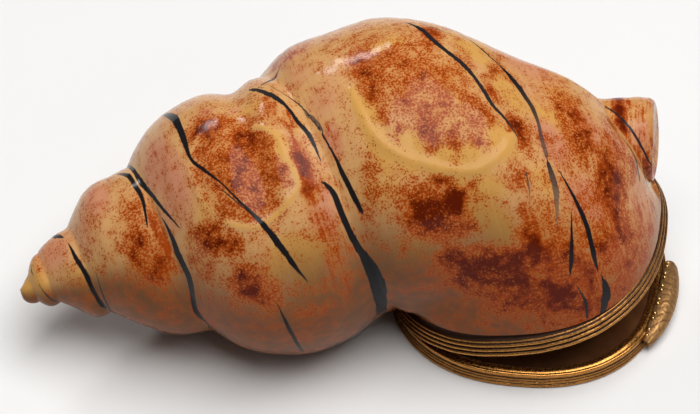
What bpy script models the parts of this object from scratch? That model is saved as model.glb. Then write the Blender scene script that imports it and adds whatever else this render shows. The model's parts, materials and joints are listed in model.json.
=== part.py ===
"""A hinged porcelain trinket box in the shape of a whelk shell.

The shell is one hollow piece of glazed porcelain. A reeded brass rim is cemented under it, and a second
reeded rim with a flat porcelain plate lies on the table. A three-knuckle hinge at the back left joins the
two rims, and a scallop-edged clasp closes them at the front right. The shell stands a little open.

Every shape is laid out with the box closed: X runs along the shell's axis from the tip of the spire
towards the canal, -Y is the front, and Z is up from the table. The origin of that layout is the centre of
the rims' outline. The finished model is centred on its own box at the end.
"""
import math

import bmesh
import bpy
import numpy as np
from mathutils import Matrix, Vector

# ---------------------------------------------------------------- driving dimensions, in millimetres
MM = 0.001
GAP = 0.3                      # left between pieces that touch
REST_OPENING = 13.2            # degrees that the shell stands open

# Outline of the rims: a rounded oval, wider towards the front.
OVAL_HALF_WIDTH = 19.2
OVAL_FRONT = 21.6
OVAL_BACK = 17.4
OVAL_FRONT_POWER = 2.35
OVAL_BACK_POWER = 2.05
OVAL_TURN = math.radians(-20.0)
OUTLINE_POINTS = 48

# Heights above the table with the box closed.
BASE_TOP = 2.5                 # top of the lower rim, where the two rims meet, and the hinge's height
REEDS_TOP = 4.65               # top of the upper rim's reeds
SLEEVE_TOP = 8.0               # top of the upper rim's sleeve inside the porcelain

# Shell axis and its whorls, with heights above the hinge before the shell is seated on its rim.
APEX_X = -68.4
AXIS_Y = 3.0
AXIS_HEIGHT = 15.8
SHELL_EDGE = 2.55              # flat lower edge of the porcelain
SHELL_TILT = 2.2               # degrees that the shell leans towards its canal when seated
SHELL_SEAT = (0.33, 1.41)      # shift away from the hinge and up when seated
SHELL_LENGTH = 87.0
WALL = 2.6
SUTURE_GROWTH = (5.31, 1.03, -0.033)     # log2 of a suture's distance from the apex, by turns
SUTURE_TILT = (0.11, 0.028)              # how far the suture leans to one side of the shell
SUTURE_RADIUS = (21.0, 24.9)             # limit and length of the suture's growing radius
WHORL_SWELL = 0.095                      # bulge of a whorl, as a share of its far suture's distance
SHOULDER = 0.126                         # how soon a whorl fills out after its suture
TURNS_DRAWN = 5
SHELL_EDGE_INSET = 0.3                   # porcelain edge inside the rims' outline

# Siphonal canal: a stubby tube with a slanting end.
CANAL_Y = 0.0
CANAL_START = (70.0, 1.3, 5.3)          # distance from the apex, height about the axis, radius
CANAL_END = (86.7, -6.5, 6.1)
CANAL_SLANT = 0.75
CANAL_LIP = 1.4

# Hinge and clasp.
HINGE_DIRECTION = math.radians(-10.8)    # from the hinge towards the opening side
HINGE_OUTSET = 1.9
REED_OUTSETS = (0.7, 0.5, 0.3)           # upper rim's reeds, from the lowest
KNUCKLE_RADIUS = 0.85
KNUCKLE_LEAF = 0.62                      # how far a knuckle's leaf reaches past its barrel
KNUCKLE_LENGTH = 2.5
PIN_RADIUS = 0.4
PIN_CLEARANCE = 0.08
PIN_OVERHANG = 0.25
CLASP_CENTRE = math.radians(-36.5)       # direction from the outline's centre
CLASP_HALF_LENGTH = 7.9
CLASP_BEADS = 10
# Back of the clasp from its lower edge to its lip, as outset and height, and its thickness there.
CLASP_BACK = ((0.5, 0.4), (0.5, 1.3), (0.5, 2.1), (0.25, 2.7), (-0.3, 3.0), (-0.75, 3.1))
CLASP_THICKNESS = (0.35, 1.25, 1.5, 1.1, 0.6, 0.3)

# Height of the body whorl's ridge and of its back slope, by distance from the apex.
RIDGE_STATIONS = (26, 36, 44, 50, 55, 60, 65, 69, 73, 77, 80, 82.5, 84.5, 86.5)
RIDGE_HEIGHTS = (18.5, 20.0, 21.0, 20.9, 20.3, 19.7, 17.8, 14.6, 10.5, 6.3, 1.6, -3.0, -7.0, -12.5)
RIDGE_LEAN_STATIONS = (50, 76, 80, 84, 88, 90)
RIDGE_LEAN = (0.0, 0.0, -1.5, -4.0, -6.0, -6.5)
BACK_SWELL = 3.0                         # how far the back of the body whorl bulges past the rim
BACK_POWER_STATIONS = (50, 58, 64, 70, 76, 79, 90)
BACK_POWERS = (2.9, 2.7, 2.3, 1.8, 1.45, 1.3, 1.15)
FRONT_POWER = 2.3
# Hand-shaped swelling of the whorls on their upper back and lower front sides.
UPPER_TRIM_STATIONS = (0, 3, 6, 9, 12, 16, 20, 24, 28, 32, 35, 38, 42, 48, 60)
UPPER_TRIM = (-1.1, 1.0, 0.1, -0.1, 0.4, -0.1, 0.4, 0.4, 0.0, -0.3, -1.0, 0.5, 0.7, 0.0, 0.0)
LOWER_TRIM_STATIONS = (0, 3, 6, 9, 12, 14, 18, 22, 26, 30, 36, 42, 46)
LOWER_TRIM = (1.0, 0.5, -0.9, -0.3, -1.3, -1.3, -0.5, 0.1, 0.8, 0.5, 0.2, -0.2, -0.8)

PORCELAIN = ("porcelain", (0.79, 0.50, 0.28, 1.0), 0.0, 0.14)
PLATE_PORCELAIN = ("plate_porcelain", (0.86, 0.84, 0.80, 1.0), 0.0, 0.14)
BRASS = ("gilt_brass", (0.60, 0.40, 0.17, 1.0), 1.0, 0.32)


# ---------------------------------------------------------------- curves and the rims' outline
def ramp(low, high, value):
    """Smooth step from 0 at low to 1 at high."""
    t = np.clip((value - low) / (high - low), 0.0, 1.0)
    return t * t * (3.0 - 2.0 * t)


def curve_through(stations, heights, value):
    """Smooth curve through a few hand-placed stations, level beyond its ends."""
    xs = np.array(stations, float)
    ys = np.array(heights, float)
    slopes = np.gradient(ys, xs)
    value = np.clip(value, xs[0], xs[-1])
    i = np.clip(np.searchsorted(xs, value) - 1, 0, len(xs) - 2)
    span = xs[i + 1] - xs[i]
    t = (value - xs[i]) / span
    near = (1 + 2 * t) * (1 - t) ** 2 * ys[i] + t * (1 - t) ** 2 * span * slopes[i]
    far = t * t * (3 - 2 * t) * ys[i + 1] + t * t * (t - 1) * span * slopes[i + 1]
    return near + far


def blend_larger(a, b, width):
    """The larger of two values, with a rounded change from one to the other."""
    h = np.clip(0.5 + 0.5 * (a - b) / width, 0.0, 1.0)
    return b + (a - b) * h + width * h * (1.0 - h)


def blend_smaller(a, b, width):
    return -blend_larger(-a, -b, width)


def oval(outset=0.0, count=1440):
    """Points of the rims' outline, moved outwards by outset, anticlockwise from the right."""
    t = np.linspace(0.0, 2.0 * np.pi, count, endpoint=False)
    c = np.cos(t)
    s = np.sin(t)
    power = np.where(s < 0, OVAL_FRONT_POWER, OVAL_BACK_POWER)
    x = OVAL_HALF_WIDTH * np.sign(c) * np.abs(c) ** (2.0 / power)
    y = np.where(s < 0, OVAL_FRONT, OVAL_BACK) * np.sign(s) * np.abs(s) ** (2.0 / power)
    points = np.stack([x, y], 1)
    chord = np.roll(points, -1, 0) - np.roll(points, 1, 0)
    chord /= np.linalg.norm(chord, axis=1)[:, None]
    points = points + outset * np.stack([chord[:, 1], -chord[:, 0]], 1)
    turn = np.array([[math.cos(OVAL_TURN), -math.sin(OVAL_TURN)], [math.sin(OVAL_TURN), math.cos(OVAL_TURN)]])
    return points @ turn.T


def outline_frames(count):
    """Evenly spaced outline points and their outward normals."""
    dense = oval()
    closed = np.vstack([dense, dense[:1]])
    run = np.concatenate([[0.0], np.cumsum(np.linalg.norm(np.diff(closed, axis=0), axis=1))])
    at = np.arange(count) * run[-1] / count
    points = np.stack([np.interp(at, run, closed[:, k]) for k in range(2)], 1)
    chord = np.roll(points, -1, 0) - np.roll(points, 1, 0)
    chord /= np.linalg.norm(chord, axis=1)[:, None]
    return points, np.stack([chord[:, 1], -chord[:, 0]], 1)


def oval_edges(x):
    """Front and back edges of the porcelain's outline at x, and the outline's left and right ends."""
    points = oval(-SHELL_EDGE_INSET)
    left = int(points[:, 0].argmin())
    right = int(points[:, 0].argmax())
    front = np.vstack([points[left:], points[:right + 1]])
    back = points[right:left + 1][::-1]
    edges = [np.interp(x, side[:, 0], side[:, 1]) for side in (front, back)]
    return edges[0], edges[1], points[left, 0], points[right, 0]


HINGE_TOWARDS_OPENING = np.array([math.cos(HINGE_DIRECTION), math.sin(HINGE_DIRECTION)])
HINGE_OFFSET = float((oval() @ HINGE_TOWARDS_OPENING).min()) - HINGE_OUTSET


# ---------------------------------------------------------------- the whelk's surface
def suture_station(turns):
    """Distance from the apex of the seam between whorls, after a number of turns."""
    level, growth, easing = SUTURE_GROWTH
    phase = 2.0 * np.pi * (turns + 0.125)
    tilt = SUTURE_TILT[0] * np.cos(phase) + SUTURE_TILT[1] * np.sin(phase)
    return 2.0 ** (level + growth * turns + easing * turns * turns + tilt)


def suture_radius(station):
    limit, length = SUTURE_RADIUS
    return limit * (1.0 - np.exp(-station / length))


def whorl_radius(station, last_turn):
    """Radius of the coiled tube where the last seam lies at last_turn."""
    high = suture_station(last_turn)
    high_radius = suture_radius(high)
    ridge = curve_through(RIDGE_STATIONS, RIDGE_HEIGHTS, np.minimum(station, 50.0))
    ridge_at_seam = curve_through(RIDGE_STATIONS, RIDGE_HEIGHTS, np.minimum(high, 50.0))
    past = np.maximum(station - high, 0.0)
    radius = ridge - (ridge_at_seam - high_radius) * np.exp(-(past / (SHOULDER * high)) ** 1.27)
    for turn in range(1, TURNS_DRAWN + 1):
        if turn < TURNS_DRAWN:
            low = suture_station(last_turn - turn)
            low_radius = suture_radius(low)
            v = np.clip((station - low) / (high - low), 0.0, 1.0)
            swell = WHORL_SWELL * high * np.sin(np.pi * v ** 0.85)
            whorl = low_radius + (high_radius - low_radius) * v + swell
        else:
            low = np.zeros_like(station)
            low_radius = low
            v = np.clip(station / high, 0.0, 1.0)
            whorl = high_radius * np.sqrt(1.0 - (1.0 - v) ** 2)
        radius = np.where(station < high, whorl, radius)
        high = low
        high_radius = low_radius
    return radius


def spire_radius(station, angle):
    """Radius of the spire; the last seam dies out on the hidden underside."""
    turns = (angle / (2.0 * np.pi)) % 1.0
    fade = ramp(0.5, 0.72, turns)
    radius = (1.0 - fade) * whorl_radius(station, turns) + fade * whorl_radius(station, turns - 1.0)
    upper = np.cos((angle + np.pi / 4.0) / 2.0) ** 2
    radius = radius + curve_through(UPPER_TRIM_STATIONS, UPPER_TRIM, station) * upper
    trim = curve_through(LOWER_TRIM_STATIONS, LOWER_TRIM, station) * (1.0 - ramp(44.0, 50.0, station))
    return radius + trim * (1.0 - upper)


def section_centre(station):
    """Point each cross-section is measured from: on the axis, then down and forward at the canal end."""
    return -5.0 * ramp(66.0, 86.0, station), -12.6 * ramp(60.0, 84.0, station)


def body_radius(station, angle, centre):
    """Distance from the axis to the body whorl, which spreads from its ridge down to the rim."""
    x = APEX_X + station
    front, back, left, right = oval_edges(x)
    front = front - AXIS_Y
    back = back - AXIS_Y
    ridge_y = curve_through(RIDGE_LEAN_STATIONS, RIDGE_LEAN, station)
    back_power = curve_through(BACK_POWER_STATIONS, BACK_POWERS, station)
    floor = SHELL_EDGE - AXIS_HEIGHT
    height = np.maximum(curve_through(RIDGE_STATIONS, RIDGE_HEIGHTS, station) - floor, 0.001)
    swell = BACK_SWELL * ramp(46.0, 56.0, station) * (1.0 - ramp(66.0, 84.0, station))
    in_outline = (x > left + 0.05) & (x < right - 0.05)

    def inside(radius):
        y = centre[0] - radius * np.sin(angle)
        z = centre[1] + radius * np.cos(angle)
        up = np.clip((z - floor) / height, 0.0, None)
        bulge = swell * 9.5 * up * np.clip(1.0 - up, 0.0, 1.0) ** 3
        half = np.maximum(np.where(y < ridge_y, ridge_y - front, back - ridge_y + bulge), 0.001)
        power = np.where(y < ridge_y, FRONT_POWER, back_power)
        return (np.abs(y - ridge_y) / half) ** power + up ** power < 1.0

    low = np.full_like(station, 0.1)
    for step in np.arange(0.5, 40.0, 0.5):
        low = np.where(inside(np.full_like(station, step)), step, low)
    high = low + 0.5
    for _ in range(12):
        middle = (low + high) / 2.0
        hit = inside(middle)
        low = np.where(hit, middle, low)
        high = np.where(hit, high, middle)
    return np.where(in_outline, low, 0.0)


def table_limit(station, angle, centre):
    """Distance from the axis to the table when the shell stands open on its lower whorl."""
    theta = math.radians(REST_OPENING - SHELL_TILT)
    opening = math.radians(REST_OPENING)
    hinge_height = BASE_TOP + SHELL_SEAT[0] * math.sin(opening) + SHELL_SEAT[1] * math.cos(opening)
    ux, uy = HINGE_TOWARDS_OPENING
    out = (APEX_X + station) * ux + (AXIS_Y + centre[0]) * uy - HINGE_OFFSET
    above = out * math.sin(theta) + (AXIS_HEIGHT + centre[1]) * math.cos(theta) + hinge_height
    fall = np.sin(angle) * uy * math.sin(theta) - np.cos(angle) * math.cos(theta)
    return np.where(fall > 0.05, (above - 0.1) / np.maximum(fall, 0.05), 45.0)


def shell_radius(station, angle, centre=None):
    """Outer radius of the porcelain in each direction, before its lower edge is cut flat."""
    if centre is None:
        centre = section_centre(station)
    upper = np.cos((angle + np.pi / 4.0) / 2.0) ** 2
    join = ramp(49.0 + 6.0 * upper, 60.0 + 8.0 * upper, station)
    radius = spire_radius(station, angle) * (1.0 - join) + body_radius(station, angle, centre) * join
    edge_depth = AXIS_HEIGHT - SHELL_EDGE + 0.6
    depth = 18.5 - (18.5 - edge_depth) * ramp(39.5, 45.8, station)
    depth = depth + 4.0 * ramp(46.6, 50.0, station) + centre[1]
    downward = -np.cos(angle)
    flat = np.minimum(np.where(downward > 0.02, depth / np.maximum(downward, 0.02), 45.0), 45.0)
    radius = np.where(flat < 45.0, blend_smaller(radius, flat, 0.6), radius)
    table = np.minimum(table_limit(station, angle, centre), 45.0)
    return np.maximum(np.where(table < 45.0, blend_smaller(radius, table, 1.2), radius), 0.02)


def cavity_radius(station, angle):
    """Radius of the hollow, at least a wall's thickness inside the porcelain in every direction."""
    radius = np.full_like(station, 100.0)
    centre = section_centre(station)
    for share in (-1.0, -0.7, 0.0, 0.7, 1.0):
        shifted = np.clip(station + share * WALL, 0.1, SHELL_LENGTH)
        inner = shell_radius(shifted, angle, centre) - WALL * math.sqrt(1.0 - share * share)
        radius = np.minimum(radius, inner)
    return radius


def seated(x, y, height):
    """Points given with heights above the hinge, leant and shifted to where the rim carries the shell."""
    ux, uy = HINGE_TOWARDS_OPENING
    tilt = math.radians(SHELL_TILT)
    out = x * ux + y * uy - HINGE_OFFSET
    moved = out * math.cos(tilt) + height * math.sin(tilt) + SHELL_SEAT[0]
    z = BASE_TOP - out * math.sin(tilt) + height * math.cos(tilt) + SHELL_SEAT[1]
    return np.stack([x + (moved - out) * ux, y + (moved - out) * uy, z], -1)


def shell_point(station, angle, radius):
    lean, drop = section_centre(station)
    y = AXIS_Y + lean - radius * np.sin(angle)
    return seated(APEX_X + station, y, AXIS_HEIGHT + drop + radius * np.cos(angle))


def even_stations(count):
    """Stations evenly spaced along the surface, closer where it turns steeply."""
    s = np.linspace(0.0, SHELL_LENGTH - 0.02, 700)
    run = np.zeros(len(s))
    for angle in (-0.8, 0.4, 1.9):
        radius = shell_radius(s, np.full_like(s, angle))
        step = np.hypot(np.diff(s), np.minimum(np.abs(np.diff(radius)), 1.0))
        run[1:] += np.cumsum(step)
    at = np.linspace(0.3 * run[-1] / count, run[-1] * (1.0 - 0.3 / count), count)
    return np.interp(at, run, s)


# ---------------------------------------------------------------- mesh helpers
def clear_scene():
    for old in list(bpy.data.objects):
        bpy.data.objects.remove(old, do_unlink=True)


def material(look):
    name, colour, metallic, roughness = look
    made = bpy.data.materials.get(name)
    if made is None:
        made = bpy.data.materials.new(name)
        made.use_nodes = True
        shader = made.node_tree.nodes["Principled BSDF"]
        shader.inputs["Base Color"].default_value = colour
        shader.inputs["Metallic"].default_value = metallic
        shader.inputs["Roughness"].default_value = roughness
    return made


def add_mesh(name, points, faces, look, smooth=True):
    """New object from points in millimetres."""
    mesh = bpy.data.meshes.new(name)
    mesh.from_pydata((np.asarray(points) * MM).tolist(), [], faces)
    mesh.update()
    work = bmesh.new()
    work.from_mesh(mesh)
    bmesh.ops.recalc_face_normals(work, faces=work.faces)
    work.to_mesh(mesh)
    work.free()
    if smooth:
        mesh.shade_smooth()
        mesh.set_sharp_from_angle(angle=math.radians(35.0))
    mesh.materials.append(material(look))
    made = bpy.data.objects.new(name, mesh)
    bpy.context.scene.collection.objects.link(made)
    return made


def grid_faces(rows, columns):
    """Quads joining rows of points that each close on themselves."""
    faces = []
    for i in range(rows - 1):
        for j in range(columns):
            k = (j + 1) % columns
            faces.append((i * columns + j, (i + 1) * columns + j, (i + 1) * columns + k, i * columns + k))
    return faces


def closed_tube(rows, ends=None):
    """Points and faces of a skin over rows of points, with a fan about a point at each end."""
    rows = np.asarray(rows)
    count, columns = rows.shape[:2]
    points = rows.reshape(-1, 3).tolist()
    faces = grid_faces(count, columns)
    first = len(points)
    if ends is None:
        ends = (rows[0].mean(0), rows[-1].mean(0))
    points += [list(map(float, end)) for end in ends]
    last_row = (count - 1) * columns
    for j in range(columns):
        k = (j + 1) % columns
        faces.append((first, j, k))
        faces.append((first + 1, last_row + k, last_row + j))
    return points, faces


def swept_ring(name, profile, look, count=OUTLINE_POINTS):
    """Ring with a cross-section of (outset, height) points, swept once round the oval."""
    points, normals = outline_frames(count)
    rows = []
    for outset, height in profile:
        at = points + outset * normals
        rows.append(np.column_stack([at, np.full(count, height)]))
    rows = np.array(rows + [rows[0]])
    sections = len(profile)
    faces = []
    for i in range(sections):
        for j in range(count):
            k = (j + 1) % count
            n = (i + 1) % sections
            faces.append((i * count + j, n * count + j, n * count + k, i * count + k))
    return add_mesh(name, rows[:sections].reshape(-1, 3), faces, look)


def oval_slab(name, outset, low, high, look, count=OUTLINE_POINTS):
    points, normals = outline_frames(count)
    at = points + outset * normals
    rows = [np.column_stack([at, np.full(count, height)]) for height in (low, high)]
    skin, faces = closed_tube(rows)
    return add_mesh(name, skin, faces, look)


def combine(target, tool, operation):
    """Join or cut the target with a tool, which stays in the file as a hidden guide."""
    boolean = target.modifiers.new(tool.name, "BOOLEAN")
    boolean.operation = operation
    boolean.solver = "EXACT"
    boolean.object = tool
    tool.hide_render = True
    tool.display_type = "WIRE"


def join(target, tool):
    combine(target, tool, "UNION")


def cut(target, tool):
    combine(target, tool, "DIFFERENCE")


# ---------------------------------------------------------------- porcelain
def build_canal():
    """The canal's tube, with a rounded lip and a shallow dimple in its slanting end."""
    start, start_height, start_radius = CANAL_START
    end, end_height, end_radius = CANAL_END
    rings = [(station, 1.0, 0.0) for station in np.linspace(start, end - CANAL_LIP, 8)]
    for turn in (30.0, 60.0, 90.0):
        inset = CANAL_LIP * (1.0 - math.cos(math.radians(turn)))
        rings.append((end - CANAL_LIP + CANAL_LIP * math.sin(math.radians(turn)), 1.0, inset))
    rings += [(end - 0.5, 0.5, 0.0), (end - 0.8, 0.2, 0.0)]
    angles = np.arange(28) * 2.0 * np.pi / 28
    rows = []
    for station, share, inset in rings:
        along = (station - start) / (end - start)
        radius = (start_radius + (end_radius - start_radius) * along) * share - inset
        y = CANAL_Y - radius * np.sin(angles)
        height = AXIS_HEIGHT + start_height + (end_height - start_height) * along + radius * np.cos(angles)
        x = APEX_X + station + CANAL_SLANT * ramp(start, end - 4.0, station) * (y - CANAL_Y)
        rows.append(seated(x, y, height))
    skin, faces = closed_tube(rows)
    return add_mesh("canal_shape", skin, faces, PORCELAIN)


def build_shell():
    """The hollow whelk: outer skin and canal, less its flat lower edge, the hollow and the mouth."""
    s, a = np.meshgrid(even_stations(50), np.arange(40) * 2.0 * np.pi / 40, indexing="ij")
    a = a + 0.3 * np.sin(2.0 * np.pi - a) * ramp(46.0, 60.0, s)
    apex = seated(APEX_X, AXIS_Y, AXIS_HEIGHT)
    lean, drop = section_centre(s[-1, 0])
    foot = seated(APEX_X + s[-1, 0], AXIS_Y + lean, AXIS_HEIGHT + drop - 0.4)
    skin, faces = closed_tube(shell_point(s, a, shell_radius(s, a)), (apex, foot))
    shell = add_mesh("shell_body", skin, faces, PORCELAIN)

    s, a = np.meshgrid(np.linspace(22.0, 80.0, 21), np.arange(24) * 2.0 * np.pi / 24, indexing="ij")
    middle = (s - 51.0) / 29.0
    radius = np.maximum(cavity_radius(s, a), 1.0) * (1.0 - 0.6 * middle ** 8)
    skin, faces = closed_tube(shell_point(s, a, radius))
    hollow = add_mesh("hollow_cutter", skin, faces, PORCELAIN)

    mouth = oval_slab("mouth_cutter", -SHELL_EDGE_INSET - WALL, REEDS_TOP - 3.0, SLEEVE_TOP + 2.0, PORCELAIN)
    corners = []
    for x in (APEX_X + 46.2, 40.0):
        for y in (-40.0, 40.0):
            corners += [seated(x, y, SHELL_EDGE - 8.0), seated(x, y, SHELL_EDGE)]
    sides = [(0, 1, 3, 2), (4, 6, 7, 5), (0, 4, 5, 1), (2, 3, 7, 6), (0, 2, 6, 4), (1, 5, 7, 3)]
    edge = add_mesh("edge_cutter", corners, sides, PORCELAIN, smooth=False)
    canal = build_canal()
    join(shell, canal)
    for cutter in (edge, hollow, mouth):
        cut(shell, cutter)
    return [shell, canal, hollow, mouth, edge]


def build_plate():
    """Flat porcelain plate that closes the lower rim."""
    return oval_slab("base_plate", -1.1 - GAP, 0.4 + GAP, 1.5, PLATE_PORCELAIN)


# ---------------------------------------------------------------- brass rims
def reed(outset, low, high, depth):
    """Three points of one half-round bead on a rim's outer face."""
    middle = (low + high) / 2.0
    return [(outset - depth, low), (outset, middle), (outset - depth, high)]


def build_shell_bezel():
    """Upper rim: three reeds, and a sleeve that locates the porcelain."""
    low = BASE_TOP + GAP / 2.0
    pitch = (REEDS_TOP - low) / 3.0
    profile = [(-1.6, low)]
    for k, outset in enumerate(REED_OUTSETS):
        profile += reed(outset, low + k * pitch + 0.05, low + (k + 1) * pitch - 0.05, 0.25)
    inner = -SHELL_EDGE_INSET - WALL - GAP
    profile += [(-0.6, REEDS_TOP), (inner, REEDS_TOP), (inner, SLEEVE_TOP), (inner - 0.6, SLEEVE_TOP)]
    profile += [(inner - 0.6, low + 0.8)]
    return swept_ring("shell_bezel", profile, BRASS)


def build_base_bezel():
    """Lower rim: a foot reed, a fine reed and a plain band, with a ledge under the plate."""
    top = BASE_TOP - GAP / 2.0
    profile = [(-2.1, 0.0), (-0.1, 0.0), (0.2, 0.45), (-0.05, 0.95)]
    profile += reed(0.1, 1.0, 1.5, 0.15)
    profile += [(0.0, 1.6), (0.0, top - 0.15), (-0.15, top), (-0.95, top), (-1.1, top - 0.15)]
    profile += [(-1.1, 0.4), (-2.1, 0.4)]
    return swept_ring("base_bezel", profile, BRASS)


def build_clasp():
    """Thumb piece on the lower rim: a bulging fan whose beaded upper lip curls in over the rim."""
    dense, normals = outline_frames(720)
    direction = np.arctan2(dense[:, 1], dense[:, 0])
    centre = int(np.abs(direction - CLASP_CENTRE).argmin())
    step = float(np.linalg.norm(dense[1] - dense[0]))
    columns = 31
    rows = len(CLASP_BACK)
    outer = []
    inner = []
    for i, (outset, height) in enumerate(CLASP_BACK):
        for j in range(columns):
            u = 2.0 * j / (columns - 1) - 1.0
            k = (centre + int(round(u * CLASP_HALF_LENGTH / step))) % len(dense)
            fan = math.sqrt(max(0.0, 1.0 - 0.9 * u * u))
            scallop = 0.2 * abs(math.sin(math.pi * CLASP_BEADS * (u + 1.0) / 2.0)) * (i == rows - 1)
            lean = 0.5 + (outset - 0.5) * fan
            z = 1.2 + (height - 1.2) * fan
            thick = 0.3 + (CLASP_THICKNESS[i] - 0.3) * fan
            turn = math.radians((0.0, 0.0, 15.0, 45.0, 60.0, 60.0)[i]) * fan
            face = dense[k] + normals[k] * (lean + (thick + scallop) * math.cos(turn))
            behind = dense[k] + normals[k] * lean
            outer.append((face[0], face[1], z + (thick + scallop) * math.sin(turn)))
            inner.append((behind[0], behind[1], z))
    points = outer + inner
    size = rows * columns
    faces = []
    for i in range(rows - 1):
        for j in range(columns - 1):
            a = i * columns + j
            faces.append((a, a + 1, a + 1 + columns, a + columns))
            faces.append((size + a, size + a + columns, size + a + 1 + columns, size + a + 1))
    for j in range(columns - 1):
        top = (rows - 1) * columns + j
        faces.append((j + 1, j, size + j, size + j + 1))
        faces.append((top, top + 1, size + top + 1, size + top))
    for i in range(rows - 1):
        left = i * columns
        right = left + columns - 1
        faces.append((left, left + columns, size + left + columns, size + left))
        faces.append((right + columns, right, size + right, size + right + columns))
    return add_mesh("clasp", points, faces, BRASS)


# ---------------------------------------------------------------- hinge
def hinge_place():
    """A point in the middle of the hinge's axis, and the axis's direction."""
    points = oval()
    nearest = points[int((points @ HINGE_TOWARDS_OPENING).argmin())]
    along = np.array([HINGE_TOWARDS_OPENING[1], -HINGE_TOWARDS_OPENING[0]])
    centre = HINGE_OFFSET * HINGE_TOWARDS_OPENING + (nearest @ along) * along
    return Vector((centre[0], centre[1], BASE_TOP)), Vector((along[0], along[1], 0.0))


def knuckle(name, start, leaf_side, rim_outset):
    """One hinge knuckle, bored for the pin, with a leaf that reaches towards its rim."""
    centre, along = hinge_place()
    towards = Vector((HINGE_TOWARDS_OPENING[0], HINGE_TOWARDS_OPENING[1], 0.0))
    up = Vector((0.0, 0.0, 1.0))
    sides = 16
    outer = []
    bore = []
    for k in range(sides):
        angle = 2.0 * math.pi * k / sides
        ray = towards * math.cos(angle) + up * math.sin(angle)
        reach = KNUCKLE_RADIUS
        if leaf_side * math.sin(angle) < -0.1 and math.cos(angle) > 0.1:
            reach = min(KNUCKLE_RADIUS + KNUCKLE_LEAF, (HINGE_OUTSET - rim_outset - GAP) / math.cos(angle))
            reach = max(reach, KNUCKLE_RADIUS)
        outer.append(ray * reach)
        bore.append(ray * (PIN_RADIUS + PIN_CLEARANCE))
    points = []
    for offset in (start, start + KNUCKLE_LENGTH):
        for ring in (outer, bore):
            points += [tuple(centre + along * offset + p) for p in ring]
    faces = []
    for k in range(sides):
        n = (k + 1) % sides
        faces.append((k, n, 2 * sides + n, 2 * sides + k))
        faces.append((sides + n, sides + k, 3 * sides + k, 3 * sides + n))
        faces.append((n, k, sides + k, sides + n))
        faces.append((2 * sides + k, 2 * sides + n, 3 * sides + n, 3 * sides + k))
    return add_mesh(name, points, faces, BRASS)


def build_pin():
    centre, along = hinge_place()
    towards = Vector((HINGE_TOWARDS_OPENING[0], HINGE_TOWARDS_OPENING[1], 0.0))
    up = Vector((0.0, 0.0, 1.0))
    half = 1.5 * KNUCKLE_LENGTH + GAP + PIN_OVERHANG
    rows = []
    for offset in (-half, half):
        ring = []
        for k in range(16):
            angle = 2.0 * math.pi * k / 16
            ray = towards * math.cos(angle) + up * math.sin(angle)
            ring.append(tuple(centre + along * offset + ray * PIN_RADIUS))
        rows.append(ring)
    skin, faces = closed_tube(rows)
    return add_mesh("hinge_pin", skin, faces, BRASS)


# ---------------------------------------------------------------- assembly
def hang_on_hinge(pieces):
    """Parent the shell's pieces to an empty on the hinge's axis, and open it to where the shell stands."""
    centre, along = hinge_place()
    hinge = bpy.data.objects.new("lid_hinge_axis", None)
    bpy.context.scene.collection.objects.link(hinge)
    hinge.location = centre * MM
    hinge.rotation_mode = "AXIS_ANGLE"
    hinge.rotation_axis_angle = (math.radians(REST_OPENING), along[0], along[1], along[2])
    for piece in pieces:
        piece.parent = hinge
        piece.matrix_parent_inverse = Matrix.Translation(-centre * MM)
    return hinge


def centre_on_box(roots):
    """Stand the model on the table with its box centred on the origin."""
    bpy.context.view_layer.update()
    depsgraph = bpy.context.evaluated_depsgraph_get()
    low = np.full(3, 1.0e9)
    high = np.full(3, -1.0e9)
    for piece in bpy.data.objects:
        if piece.type == "MESH" and not piece.hide_render:
            shape = piece.evaluated_get(depsgraph)
            corners = np.array([piece.matrix_world @ v.co for v in shape.data.vertices])
            low = np.minimum(low, corners.min(0))
            high = np.maximum(high, corners.max(0))
    middle = (low + high) / 2.0
    stand = bpy.data.objects.new("stand_origin", None)
    bpy.context.scene.collection.objects.link(stand)
    stand.location = (-middle[0], -middle[1], -low[2])
    for root in roots:
        root.parent = stand


def main():
    clear_scene()
    shell_pieces = build_shell()
    shell_pieces.append(build_shell_bezel())
    first = -1.5 * KNUCKLE_LENGTH - GAP
    base_pieces = [build_base_bezel(), build_plate(), build_clasp(), build_pin()]
    base_pieces.append(knuckle("hinge_knuckle_back", first, 1, 0.15))
    shell_pieces.append(knuckle("hinge_knuckle_middle", -0.5 * KNUCKLE_LENGTH, -1, REED_OUTSETS[0]))
    base_pieces.append(knuckle("hinge_knuckle_front", 0.5 * KNUCKLE_LENGTH + GAP, 1, 0.15))
    hinge = hang_on_hinge(shell_pieces)
    centre_on_box(base_pieces + [hinge])


main()
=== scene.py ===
"""Looks of the hinged porcelain trinket box in the shape of a whelk shell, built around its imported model.

The shell is laid out as in the part: stations run along its axis from the tip of the spire, and angles turn
round that axis, from the top (0 degrees) over the front (90) to the underside. Lengths are millimetres, in
a layout with the box closed. The shell's own points are then turned about the hinge to where it stands open.
"""

import json
import math

import bpy
import numpy as np
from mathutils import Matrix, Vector
from mathutils.kdtree import KDTree


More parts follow.
